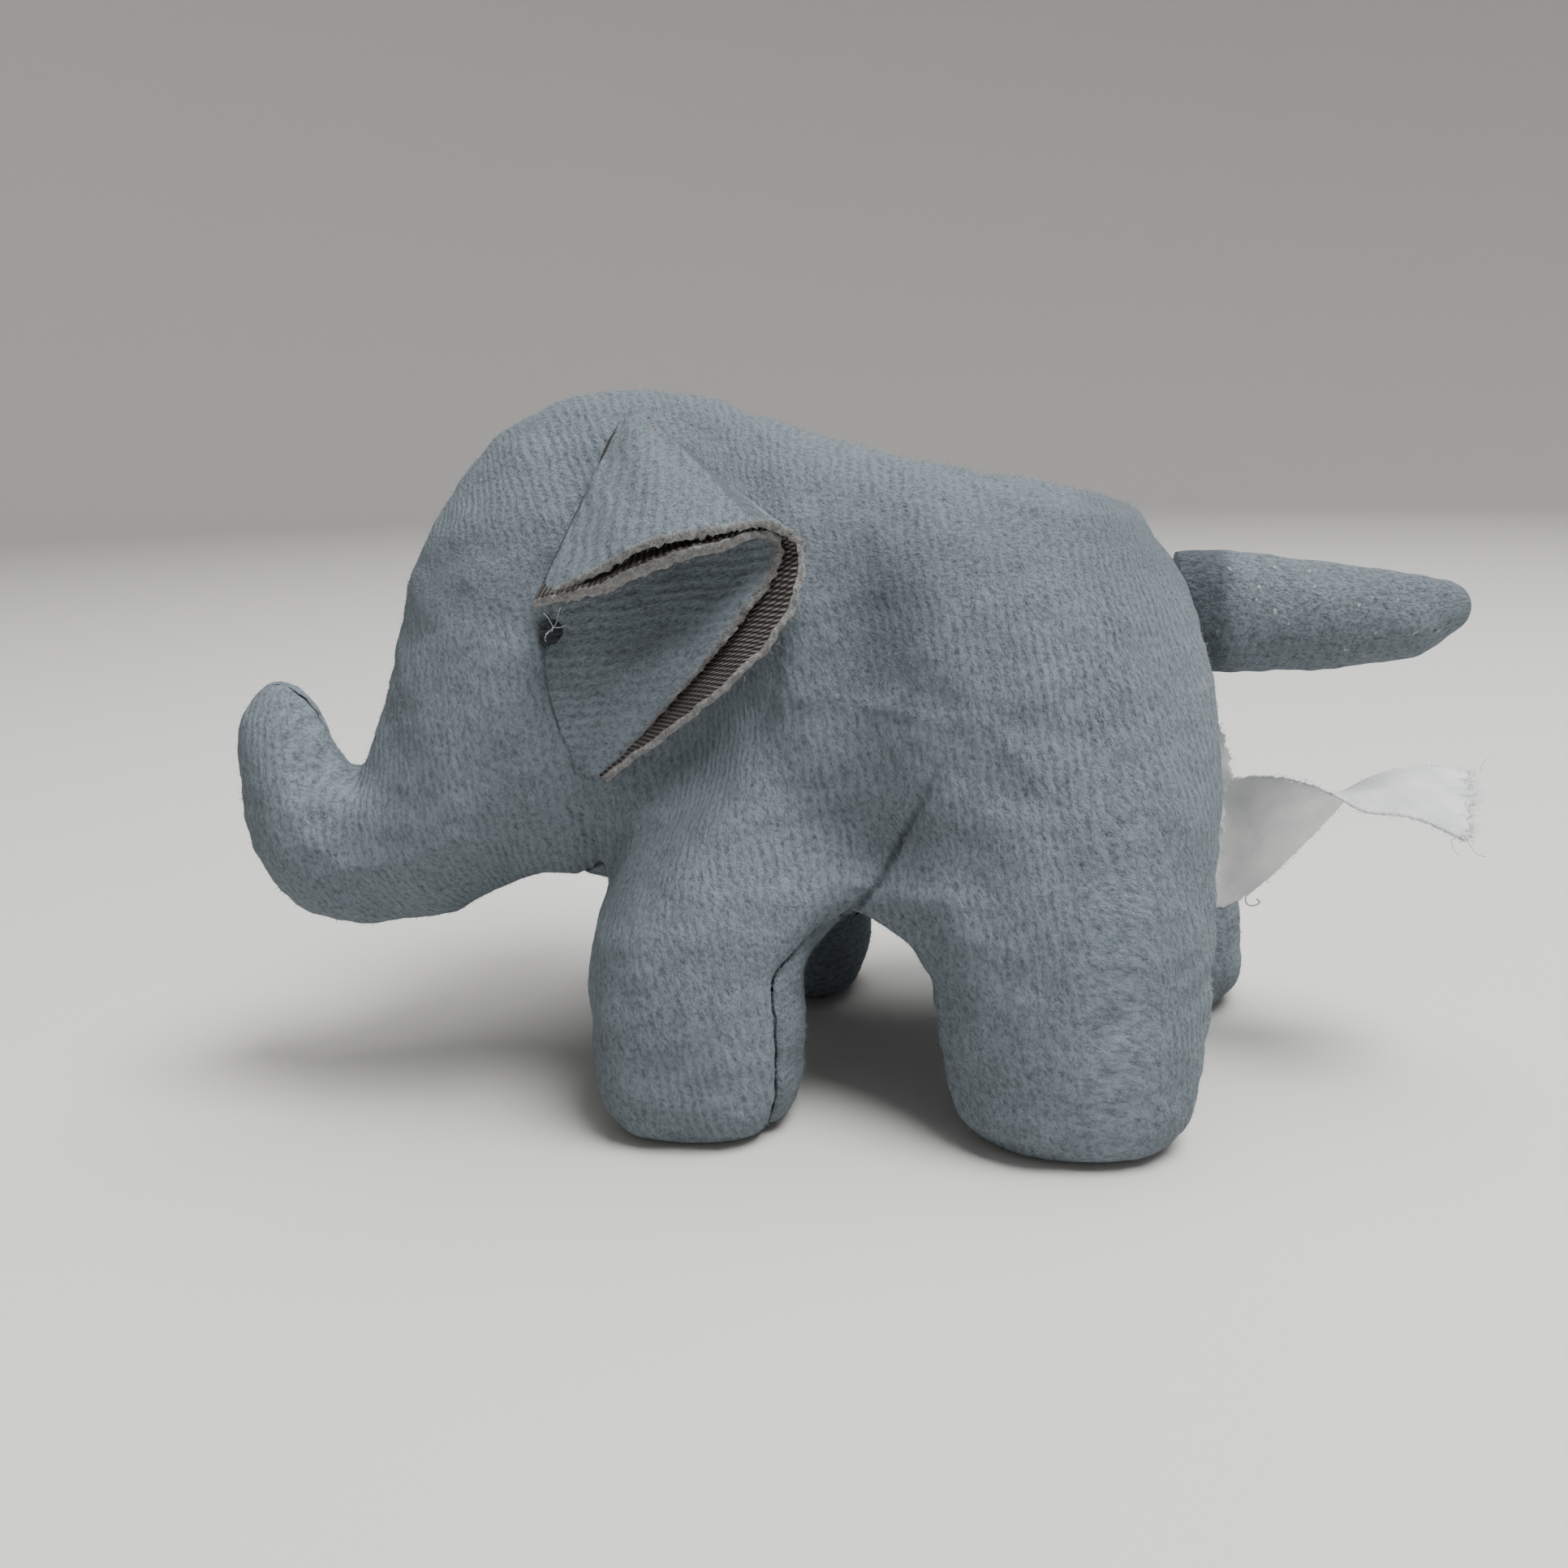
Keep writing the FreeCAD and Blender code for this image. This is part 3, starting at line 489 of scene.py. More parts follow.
# --- materials ----------------------------------------------------------------------------------
class Nodes:
    """Short calls for building a material's nodes."""

    def __init__(self, name):
        self.material = bpy.data.materials.new(name)
        self.material.use_nodes = True
        self.tree = self.material.node_tree
        self.shader = self.tree.nodes["Principled BSDF"]

    def add(self, kind, settings=None, **inputs):
        made = self.tree.nodes.new(kind)
        for key, value in (settings or {}).items():
            setattr(made, key, value)
        for key, value in inputs.items():
            self.put(made.inputs[int(key[1:]) if key[0] == "_" else key], value)
        return made

    def put(self, socket, value):
        if isinstance(value, bpy.types.NodeSocket):
            self.tree.links.new(value, socket)
        else:
            socket.default_value = value

    def attribute(self, name, output="Vector"):
        return self.add("ShaderNodeAttribute", {"attribute_name": name}).outputs[output]

    def split(self, vector):
        return self.add("ShaderNodeSeparateXYZ", Vector=vector).outputs

    def object_place(self):
        return self.add("ShaderNodeTexCoord").outputs["Object"]

    def maths(self, operation, a, b=0.0, c=0.0):
        return self.add("ShaderNodeMath", {"operation": operation}, _0=a, _1=b, _2=c).outputs[0]

    def sine(self, value, length):
        """A wave of the value, one period to each length."""
        return self.maths("SINE", self.maths("MULTIPLY", value, 2 * math.pi / length))

    def mapped(self, value, from_min, from_max, to_min=0.0, to_max=1.0, kind="LINEAR"):
        made = self.add("ShaderNodeMapRange", {"interpolation_type": kind}, Value=value)
        for key, number in (("From Min", from_min), ("From Max", from_max), ("To Min", to_min),
                            ("To Max", to_max)):
            made.inputs[key].default_value = number
        return made.outputs[0]

    def weighted(self, *terms):
        """The sum of sockets, each times its own number."""
        total = self.maths("MULTIPLY", *terms[0])
        for value, weight in terms[1:]:
            total = self.maths("MULTIPLY_ADD", value, weight, total)
        return total

    def noise(self, vector, scale, detail=2.0, roughness=0.5):
        return self.add("ShaderNodeTexNoise", Vector=vector, Scale=scale, Detail=detail,
                        Roughness=roughness).outputs["Fac"]

    def scaled(self, vector, scale):
        return self.add("ShaderNodeVectorMath", {"operation": "MULTIPLY"}, _0=vector,
                        _1=scale).outputs[0]

    def ramp(self, value, stops):
        made = self.add("ShaderNodeValToRGB", Fac=value)
        ramp = made.color_ramp
        while len(ramp.elements) < len(stops):
            ramp.elements.new(0.5)
        for element, (place, colour) in zip(ramp.elements, stops):
            element.position = place
            element.color = (*colour, 1.0)
        return made.outputs["Color"]

    def mix(self, share, first, second):
        made = self.add("ShaderNodeMix", {"data_type": "RGBA", "blend_type": "MIX"})
        self.put(made.inputs[0], share)
        self.put(made.inputs[6], first)
        self.put(made.inputs[7], second)
        return made.outputs[2]

    def bump(self, height, distance):
        return self.add("ShaderNodeBump", Height=height, Distance=distance,
                        Strength=1.0).outputs["Normal"]

    def finish(self, colour, normal=None, roughness=0.9, sheen=0.0, sheen_tint=(1, 1, 1),
               specular=0.2):
        self.put(self.shader.inputs["Base Color"], colour)
        if normal is not None:
            self.put(self.shader.inputs["Normal"], normal)
        for socket, value in (("Roughness", roughness), ("Sheen Weight", sheen),
                              ("Sheen Roughness", 0.5), ("Specular IOR Level", specular),
                              ("Sheen Tint", (*sheen_tint, 1.0))):
            self.shader.inputs[socket].default_value = value
        return self.material


RIB = 1.0                               # millimetres between the ribs of the knit
SEAM_MARK, DART_MARK = 0.42, 0.6        # millimetres from a seam or a dart that are bumped in and given painted shade
PILE_RELIEF = 0.00045                   # metres of bump for the pile
# the near-black colour towards which painted shade in hollows, seams and darts is mixed
PAINTED_SHADE_COLOUR = (0.02, 0.025, 0.03)


def velour(name, dark, light, rib_strength=1.0, tuft_strength=1.0, fleck=None, seams=False):
    """Short-piled velour. Its "cloth" attribute holds millimetres across and along the ribs."""
    made = Nodes(name)
    cloth = made.attribute("cloth")
    # painted shade in hollows, given per point of the mesh
    painted_shade = made.attribute("painted_shade", "Fac")
    wander = made.noise(cloth, 0.35, 2.0)
    across = made.maths("ADD", made.split(cloth)["X"], made.maths("MULTIPLY", wander, 1.3))
    rib = made.maths("MULTIPLY_ADD", made.sine(across, RIB), 0.5, 0.5)
    showing = made.mapped(made.noise(cloth, 0.09, 2.0), 0.38, 0.62, 0.35, 1.0)
    ribs = made.maths("MULTIPLY", rib, showing)
    stitch = made.noise(made.scaled(cloth, (1.0, 0.7, 1.0)), 1.7, 3.0, 0.6)
    pile = made.noise(made.scaled(cloth, (1.0, 0.6, 1.0)), 3.6, 3.0, 0.7)
    fuzz = made.noise(cloth, 14.0, 2.0, 0.6)
    height = made.weighted((ribs, 0.5 * rib_strength), (stitch, tuft_strength), (pile, 1.0),
                           (fuzz, 0.4))
    if seams:
        lines = made.split(made.attribute("lines"))
        seam = made.mapped(lines["X"], 0.0, SEAM_MARK, 1.0, 0.0, "SMOOTHSTEP")
        dart = made.maths("ABSOLUTE", lines["Y"])
        dart = made.mapped(dart, 0.0, DART_MARK, 1.0, 0.0, "SMOOTHSTEP")
        dart = made.maths("MULTIPLY", dart, made.maths("MULTIPLY", lines["Z"], 0.75))
        mark = made.maths("MAXIMUM", seam, dart)
        height = made.maths("MULTIPLY_ADD", mark, -2.2, height)
        # the seam and dart valleys get painted shade as well as their bump
        painted_shade = made.maths("MAXIMUM", painted_shade, made.maths("MULTIPLY", mark, 0.85))
    normal = made.bump(height, PILE_RELIEF)
    shade = made.weighted((ribs, 0.1 * rib_strength), (stitch, 0.5 * tuft_strength), (pile, 0.75),
                          (fuzz, 0.45))
    low = 0.5 + 0.25 * tuft_strength + 0.035 * rib_strength
    between = tuple((a + b) / 2 for a, b in zip(dark, light))
    colour = made.ramp(made.maths("SUBTRACT", shade, low - 0.5),
                       [(0.3, dark), (0.5, between), (0.7, light)])
    blotch = made.noise(cloth, 0.055, 1.0)
    colour = made.mix(made.maths("MULTIPLY", blotch, 0.18), colour, (*dark, 1.0))
    if fleck is not None:
        spots = made.mapped(made.noise(cloth, 1.1, 1.0), 0.7, 0.76)
        colour = made.mix(spots, colour, (*fleck, 1.0))
    # painted shade: the colour is mixed towards near black by the amount above
    colour = made.mix(made.maths("MULTIPLY", painted_shade, 0.8), colour, (*PAINTED_SHADE_COLOUR, 1.0))
    return made.finish(colour, normal, roughness=0.95, sheen=0.1, sheen_tint=(0.9, 0.95, 0.97),
                       specular=0.1)


def backing(name):
    """The dark brown wrong side of the velour, with its twill-like rows of loops."""
    made = Nodes(name)
    cloth = made.attribute("cloth")
    parts = made.split(cloth)
    row = made.sine(parts["X"], 0.62)
    loop = made.sine(made.maths("MULTIPLY_ADD", parts["X"], 0.8, parts["Y"]), 0.5)
    weave = made.maths("ADD", made.weighted((row, 0.35), (loop, 0.35)), 0.5)
    grain = made.noise(cloth, 5.0, 2.0)
    shade = made.maths("MULTIPLY", weave, made.maths("MULTIPLY_ADD", grain, 0.8, 0.5))
    colour = made.ramp(shade, [(0.1, (0.016, 0.014, 0.013)), (0.55, (0.055, 0.048, 0.044)),
                               (0.95, (0.2, 0.185, 0.175))])
    return made.finish(colour, made.bump(weave, 0.0002), roughness=0.75, specular=0.3)


def raw_edge(name):
    """Cut velour: short loose fibres, beige grey with brown between them."""
    made = Nodes(name)
    place = made.object_place()
    fibres = made.noise(place, 5200.0, 3.0, 0.7)
    patches = made.noise(place, 1300.0, 2.0)
    shade = made.weighted((fibres, 0.6), (patches, 0.45))
    colour = made.ramp(shade, [(0.32, (0.07, 0.064, 0.06)), (0.52, (0.16, 0.16, 0.157)),
                               (0.75, (0.33, 0.35, 0.36))])
    return made.finish(colour, made.bump(fibres, 0.0002), roughness=0.95, sheen=0.3)


def thread_material(name, dark, light):
    made = Nodes(name)
    place = made.object_place()
    twist = made.noise(made.scaled(place, (1.0, 1.0, 2.5)), 6000.0, 2.0)
    colour = made.ramp(twist, [(0.3, dark), (0.7, light)])
    return made.finish(colour, made.bump(twist, 0.00008), roughness=0.7, sheen=0.2, specular=0.3)


def ribbon_material(name):
    """White woven ribbon, unprinted, with its fine plain weave."""
    made = Nodes(name)
    cloth = made.attribute("cloth")
    parts = made.split(cloth)
    crossing = made.maths("MULTIPLY", made.sine(parts["X"], 0.24), made.sine(parts["Y"], 0.2))
    weave = made.maths("MULTIPLY_ADD", crossing, 0.5, 0.5)
    shade = made.weighted((made.noise(cloth, 0.25, 3.0), 0.8), (weave, 0.25))
    colour = made.ramp(shade, [(0.2, (0.42, 0.44, 0.46)), (0.5, (0.6, 0.62, 0.62)),
                               (0.85, (0.78, 0.78, 0.76))])
    made.shader.inputs["Transmission Weight"].default_value = 0.0
    made.shader.inputs["Subsurface Weight"].default_value = 0.25
    made.shader.inputs["Subsurface Radius"].default_value = (0.002, 0.002, 0.002)
    return made.finish(colour, made.bump(weave, 0.00004), roughness=0.6, sheen=0.2, specular=0.3)


def filling_material(name):
    made = Nodes(name)
    place = made.object_place()
    fibres = made.noise(place, 1800.0, 4.0, 0.7)
    colour = made.ramp(fibres, [(0.3, (0.66, 0.66, 0.64)), (0.7, (0.88, 0.88, 0.86))])
    return made.finish(colour, made.bump(fibres, 0.0006), roughness=0.95, sheen=0.3)


GREY_DARK, GREY_LIGHT = (0.05, 0.062, 0.073), (0.235, 0.283, 0.322)
VELOUR = velour("velour_grey", GREY_DARK, GREY_LIGHT, seams=True)
EAR_VELOUR = velour("velour_ear", GREY_DARK, GREY_LIGHT, rib_strength=1.2, tuft_strength=0.8)
TAIL_VELOUR = velour("velour_tail", (0.038, 0.047, 0.055), (0.235, 0.28, 0.315), rib_strength=0.2,
                     tuft_strength=1.3, fleck=(0.42, 0.42, 0.4))
BACKING = backing("velour_wrong_side")
RAW_EDGE = raw_edge("velour_raw_edge")
SEAM_THREAD = thread_material("seam_thread_grey", (0.03, 0.037, 0.045), (0.1, 0.12, 0.135))
EYE_THREAD = thread_material("eye_thread_dark", (0.004, 0.005, 0.008), (0.02, 0.025, 0.035))
PALE_THREAD = thread_material("loose_thread_pale", (0.4, 0.43, 0.45), (0.7, 0.73, 0.75))
RIBBON = ribbon_material("ribbon_white")
FILLING = filling_material("fibre_filling")



def declare(piece, body=None, node=None):
    """Hides the piece's CAD node and attaches the piece to its body, when these are given."""
    if node is not None:
        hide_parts(node)
    if body is not None:
        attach(piece, body)


HANDS = (("left", -1), ("right", 1))    # the elephant's own left and right

# --- the velour skin ----------------------------------------------------------------------------
SKIN = 0.9                              # thickness of a panel
SEAM_OUT = 16.5                         # the leg seams' usual distance from the middle plane
GUSSET_TOP = 31.0
GUSSET_BREAST, GUSSET_REAR = 69.0, 3.0  # where the inner-leg panels come to a point
SEAM_WANDER = 9.1                       # on the back of a front leg the seam runs further out
SEAM_IN = 5.0                           # and on its front further in
BREAST_POINT, REAR_POINT = 4.0, 7.0     # lengths of those points
EYE_PLACE = on_head(20.9, 15.6, 51.1)
DART_TOP, DART_LOW = np.array((26.6, 39.8)), np.array((36.5, 21.0))
DIMPLE = (33.6, 51.2)


def inner_leg_share(points):
    """Positive on the inner-leg panels, negative on the side panels, zero along their seam."""
    ahead, right, high = points.T
    set_ahead = ahead + np.where(right > 0, SET_BACK, 0.0)
    wander = np.exp(-((set_ahead - 41.0) / 5.0) ** 2) * smooth_step((24 - high) / 8)
    out = SEAM_OUT + SEAM_WANDER * wander
    out = out - SEAM_IN * smooth_step((set_ahead - 54.0) / 7.0)
    across = out - np.abs(right)
    breast = (GUSSET_BREAST - ahead) - np.abs(right) * BREAST_POINT / SEAM_OUT
    rear = (ahead - GUSSET_REAR) - np.abs(right) * REAR_POINT / SEAM_OUT
    return np.minimum(np.minimum(across, GUSSET_TOP - high), np.minimum(breast, rear))


def dart_distance(points):
    """Distance from the thigh dart's line in side view, and how far along it a point is."""
    place = points[:, [0, 2]].copy()
    place[:, 0] += np.where(points[:, 1] > 0, SET_BACK, 0.0)
    line = DART_LOW - DART_TOP
    along = ((place - DART_TOP) @ line) / (line @ line)
    gap = place - DART_TOP - np.clip(along, 0, 1)[:, None] * line
    side = np.sign((place - DART_TOP) @ np.array((line[1], -line[0])))
    return np.linalg.norm(gap, axis=1) * side, along


GATHER = 2.6                            # a seam's stitches pull it in once in this length
DIMPLE_LONG, DIMPLE_TALL, DIMPLE_DEEP = 30.0, 90.0, 2.7     # the hollow behind the ear


def bell(distance, width):
    return np.exp(-(distance / width) ** 2)


def relief(points):
    """How far the stuffed surface sinks in at seams, darts and dents, the painted shade of the
    hollow behind the ear and of the eye's dent, and the distances to the seams and the dart that the
    velour's material reads."""
    ahead, right, high = points.T
    gathers = 0.8 + 0.2 * np.cos(2 * math.pi * (ahead + high) / GATHER)
    leg_seam = np.abs(inner_leg_share(points))
    sink = (0.55 * bell(right, 0.8) * gathers + 0.3 * bell(right, 2.4)
            + 0.5 * bell(leg_seam, 0.7) * gathers + 0.3 * bell(leg_seam, 2.2))
    gap, along = dart_distance(points)
    on_flank = smooth_step((np.abs(right) - 8) / 6)
    strength = smooth_step(along / 0.55 + 0.15) * on_flank
    sink += strength * (0.5 * bell(gap, 0.8) + 0.6 * bell(gap, 3.6))
    dimple = (ahead - DIMPLE[0]) ** 2 / DIMPLE_LONG + (high - DIMPLE[1]) ** 2 / DIMPLE_TALL
    dent = np.exp(-dimple) * on_flank
    sink += DIMPLE_DEEP * dent * np.where(right < 0, 1.0, 0.6)
    eye_gap = np.hypot(ahead - EYE_PLACE[0], high - EYE_PLACE[2])
    sink += (1.6 * bell(eye_gap, 1.7) + 1.3 * bell(eye_gap, 4.5)) * on_flank
    # painted shade: the colour is darkened in the eye's dent and in the hollow behind the ear, where
    # the ear's shadow falls
    dark = (0.45 * bell(eye_gap, 1.6) + 0.55 * dent) * on_flank
    lines = np.stack([np.minimum(np.abs(right), leg_seam), gap, strength], axis=1)
    return sink, np.clip(dark, 0, 1), lines


def cloth_places(points, inner):
    """Millimetres across and along the ribs, which run up the side panels and round the legs."""
    ahead, right, high = points.T
    out = np.abs(right)
    across = ahead - 0.18 * (high - 40) - 0.7 * (21 - out) * smooth_step((15 - ahead) / 10)
    across = across + 0.6 * (15 - out) * smooth_step((ahead - 72) / 12)
    along = high + 0.8 * (21 - out) * smooth_step((high - 50) / 12)
    turned = np.stack([high + 0.1 * ahead, ahead + out, out], axis=1)
    straight = np.stack([across, along, out * 0.6], axis=1)
    return np.where(inner[:, None], turned, straight)


def split_by(points, triangles, values):
    """Cuts triangles where the values are zero; returns points, triangles and each one's side."""
    side = values > 0
    count = side[triangles].sum(axis=1)
    whole = (count == 0) | (count == 3)
    made = [triangles[whole]]
    sides = [side[triangles[whole][:, 0]]]
    new_points = []
    known = {}

    def between(a, b):
        key = (min(a, b), max(a, b))
        if key not in known:
            t = values[key[0]] / (values[key[0]] - values[key[1]])
            known[key] = len(points) + len(new_points)
            new_points.append(points[key[0]] * (1 - t) + points[key[1]] * t)
        return known[key]

    cut_triangles, cut_sides = [], []
    for triangle, number in zip(triangles[~whole], count[~whole]):
        lone_side = number == 1
        k = int(np.nonzero(side[triangle] == lone_side)[0][0])
        a, b, c = (int(triangle[(k + m) % 3]) for m in range(3))
        ab, ac = between(a, b), between(a, c)
        cut_triangles += [(a, ab, ac), (ab, b, c), (ab, c, ac)]
        cut_sides += [lone_side, not lone_side, not lone_side]
    made.append(np.array(cut_triangles).reshape(-1, 3))
    sides.append(np.array(cut_sides, bool))
    points = np.vstack([points, np.array(new_points).reshape(-1, 3)])
    return points, np.vstack(made), np.concatenate(sides)


def thicken(points, normals, triangles, thickness):
    """A closed shell from an open outer surface: outer faces, inner faces and rims."""
    used = np.unique(triangles)
    number = np.full(len(points), -1)
    number[used] = np.arange(len(used))
    outer = number[triangles]
    size = len(used)
    edges = np.vstack([outer[:, [0, 1]], outer[:, [1, 2]], outer[:, [2, 0]]])
    key = edges.min(axis=1) * (size + 1) + edges.max(axis=1)
    _, first, times = np.unique(key, return_index=True, return_counts=True)
    rim = edges[first[times == 1]]
    faces = [outer, outer[:, ::-1] + size]
    rims = np.stack([rim[:, 1], rim[:, 0], rim[:, 0] + size, rim[:, 1] + size], axis=1)
    shell = np.vstack([points[used], points[used] - normals[used] * thickness])
    return shell, [*np.vstack(faces).tolist(), *rims.tolist()], used


ON_SEAM = 0.02                          # points nearer to the seam than this count as beside it


def build_skin():
    """The closed velour skin in the pattern, cut into its four panels."""
    field, axes = body_field(GRID_3D)
    points, quads, cells = surface_nets(field, axes)
    points = settle(points, field, axes)
    middle_cell = np.argmin(np.abs(axes[1][:-1] + GRID_3D / 2))
    points[cells[:, 1] == middle_cell, 1] = 0.0
    triangles = np.vstack([quads[:, [0, 1, 2]], quads[:, [0, 2, 3]]])
    values = inner_leg_share(points)
    values[np.abs(values) < ON_SEAM] = ON_SEAM
    return field, axes, *split_by(points, triangles, values)


field, axes, points, triangles, inner = build_skin()
normals = vertex_normals(points, triangles)
# dark holds painted shade for the hollow behind the ear and for the eye's dent
sink, dark, lines_near = relief(points)
lumps = 0.16 * waves(points, 9.0, 3) + 0.1 * waves(points, 4.0, 4)
tufts = 0.05 * waves(points, 2.0, 5)
off_floor = points[:, 2] > 1            # the soles stay flat
shaped = points - normals * sink[:, None] + normals * ((lumps + tufts) * off_floor)[:, None]
shaped[:, 2] = np.maximum(shaped[:, 2], 0.0)
shaped_normals = vertex_normals(shaped, triangles)


def skin_panel(name, mask, nodes, inner_leg):
    """One panel of the body's velour as a closed shell, and the CAD nodes it stands for."""
    shell, faces, used = thicken(shaped, shaped_normals, triangles[mask], SKIN)
    shell[:, 2] = np.maximum(shell[:, 2], 0.0)
    places = cloth_places(points[used], np.full(len(used), inner_leg))
    # the painted shade of the hollow behind the ear and of the eye's dent goes to the velour's
    # colour
    values = {"cloth": np.vstack([places] * 2), "painted_shade": np.concatenate([dark[used]] * 2),
              "lines": np.vstack([lines_near[used]] * 2)}
    panel = make_mesh(name, to_toy(shell), faces, VELOUR, attributes=values)
    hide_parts(*nodes)
    return panel


middle_of_triangle = points[triangles].mean(axis=1)
for hand, side in HANDS:
    here = middle_of_triangle[:, 1] * side > 0
    panel = skin_panel(hand + "_side_skin", here & ~inner,
                       [hand + "_side_panel", hand + "_trunk_panel"], False)
    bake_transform(panel)
    panel = skin_panel(hand + "_inner_leg_skin", here & inner, [hand + "_inner_leg_panel"], True)
    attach(panel, "root")


# --- threads and fibres -------------------------------------------------------------------------
def frames_along(line):
    """Two directions across a line of points."""
    along = unit(np.gradient(line, axis=0))
    across = unit(np.cross(along, (0.3, 0.2, 0.93)))
    return across, np.cross(along, across)


def tube(line, radii, sides):
    """Points and faces of a round tube along a line, with closed ends."""
    line = np.asarray(line, float)
    radii = np.broadcast_to(radii, len(line))
    across, up = frames_along(line)
    angle = (np.arange(sides) / sides * 2 * math.pi)[None, :, None]
    ring = across[:, None] * np.cos(angle) + up[:, None] * np.sin(angle)
    made = (line[:, None] + ring * radii[:, None, None]).reshape(-1, 3)
    return made, ring_faces(len(line), sides)


def joined(parts):
    """Several meshes as one list of points and one of faces, each turned the right way out."""
    all_points, all_faces, start = [], [], 0
    for part_points, part_faces in parts:
        part_points = np.asarray(part_points, float)
        all_points.append(part_points)
        all_faces += [tuple(corner + start for corner in face)
                      for face in turned_out(part_points, [tuple(face) for face in part_faces])]
        start += len(part_points)
    return np.vstack(all_points), all_faces


def many(name, parts, material):
    """One smooth object made of several closed meshes."""
    return mesh_object(name, *joined(parts), material, smooth=True)


STITCH_STEP = 0.45                      # a stitched thread has a ring of points this often


def stitches(line, pitch=2.3, radius=0.17):
    """Machine stitches along a line: short lengths of thread that dip at each needle hole."""
    line = np.asarray(line, float)
    along = lengths_along(line)
    count = max(int(along[-1] / STITCH_STEP), 4)
    places = np.linspace(0, along[-1], count)
    fine = np.stack([np.interp(places, along, column) for column in line.T], axis=1)
    return tube(fine, radius * (0.75 + 0.25 * np.abs(np.sin(math.pi * places / pitch))), 6)


CURL_STEP = 0.25


def curl(start, heading, length, wildness, seed, radius):
    """A loose, curling end of thread."""
    source = np.random.default_rng(seed)
    place, direction = np.array(start, float), np.array(heading, float)
    direction /= np.linalg.norm(direction)
    turning = source.normal(size=3)
    line = [place]
    for _ in range(int(length / CURL_STEP)):
        turning = 0.85 * turning + 0.5 * source.normal(size=3)
        direction = direction + CURL_STEP * wildness * np.cross(turning, direction)
        direction /= np.linalg.norm(direction)
        place = place + CURL_STEP * direction
        line.append(place)
    return tube(line, radius, 5)


SHORTEST_SEAM = 12                      # chains of no more points than this are left out


def seam_lines():
    """The leg seams, as chains of points where inner-leg panels meet side panels."""
    edges = {}
    for triangle, share in zip(triangles.tolist(), inner.tolist()):
        for a, b in ((0, 1), (1, 2), (2, 0)):
            key = (min(triangle[a], triangle[b]), max(triangle[a], triangle[b]))
            edges.setdefault(key, set()).add(share)
    near = {}
    for (a, b), shares in edges.items():
        if len(shares) == 2:
            near.setdefault(a, []).append(b)
            near.setdefault(b, []).append(a)
    lines = []
    while near:
        start = next((point for point in near if len(near[point]) != 2), next(iter(near)))
        line = [start]
        while True:
            here = line[-1]
            following = [point for point in near.get(here, ()) if point in near]
            if not following:
                near.pop(here, None)
                break
            step = following[0]
            near[here].remove(step)
            near[step].remove(here)
            if not near[here]:
                del near[here]
            line.append(step)
        if len(line) > SHORTEST_SEAM:
            lines.append(line)
    return lines


def smoothed(line, times=3):
    for _ in range(times):
        line = np.vstack([line[:1], (line[:-2] + 2 * line[1:-1] + line[2:]) / 4, line[-1:]])
    return line


SEAM_DEPTH, DART_DEPTH = 0.35, 0.45     # threads lie this far under the bottom of their valley
LEAST_HIGH = 0.5                        # and stay this far above the floor
leg_seams = {"left": [], "right": []}
for line in seam_lines():
    seam_points = shaped[line] - shaped_normals[line] * SEAM_DEPTH
    seam_points[:, 2] = np.maximum(seam_points[:, 2], LEAST_HIGH)
    hands = np.sign(seam_points[:, 1]) * (np.abs(seam_points[:, 1]) > 0.4)
    changes = np.nonzero(np.diff(hands))[0] + 1
    first_hands = hands[np.concatenate([[0], changes])]
    for run, hand_sign in zip(np.split(seam_points, changes), first_hands):
        if hand_sign and len(run) > SHORTEST_SEAM:
            leg_seams["left" if hand_sign < 0 else "right"].append(smoothed(run))
for hand, lines in leg_seams.items():
    thread = many(hand + "_leg_seam", [stitches(to_toy(line)) for line in lines], SEAM_THREAD)
    declare(thread, "root", hand + "_leg_seam_thread")


def sunk_surface(places):
    """How far places are outside the stuffed surface with its hollows, and the way out there."""
    value, slope = field_at(field, axes, places)
    return value + relief(places)[0], unit(slope)


def surface_line(corners, count, depth=SEAM_DEPTH):
    """A line on the stuffed surface under the given places."""
    line = open_curve(corners, count)
    line = settle(line, field, axes, 4)
    _, out = sunk_surface(line)
    line = line - out * (relief(line)[0][:, None] + depth)
    line[:, 2] = np.maximum(line[:, 2], LEAST_HIGH)
    return line


top_seam = [(a, 0.0, h) for a, h in [OUTLINE[-2], OUTLINE[-1], *OUTLINE[:17]]]
trunk_seam = [(a, 0.0, h) for a, h in OUTLINE[17:36]]
belly_seam = [(a, 0.0, h) for a, h in OUTLINE[36:]]
for name, node, corners in (("back_seam", "back_seam_thread", top_seam),
                            ("belly_seam", "belly_seam_thread", belly_seam)):
    thread = many(name, [stitches(to_toy(surface_line(corners, 220)))], SEAM_THREAD)
    declare(thread, "root", node)
thread = many("trunk_seam", [stitches(to_toy(surface_line(trunk_seam, 200)))], SEAM_THREAD)
declare(thread, node="trunk_seam_thread")
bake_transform(thread)
for hand, side in HANDS:
    back = SET_BACK if side > 0 else 0.0
    dart = [(DART_TOP[0] + 2.0 - back, side * 23, DART_TOP[1] - 3.6),
            (32.5 - back, side * 22, 29.4), (DART_LOW[0] - back, side * 20, DART_LOW[1] + 1.5)]
    dart = stitches(to_toy(surface_line(dart, 40, DART_DEPTH)))
    thread = many(hand + "_thigh_dart", [dart], SEAM_THREAD)
    declare(thread, "root", hand + "_thigh_dart_thread")


# --- fillings -----------------------------------------------------------------------------------
FILLING_DEPTH = 3.8                     # a wad lies this far inside the panels, clear of the dents


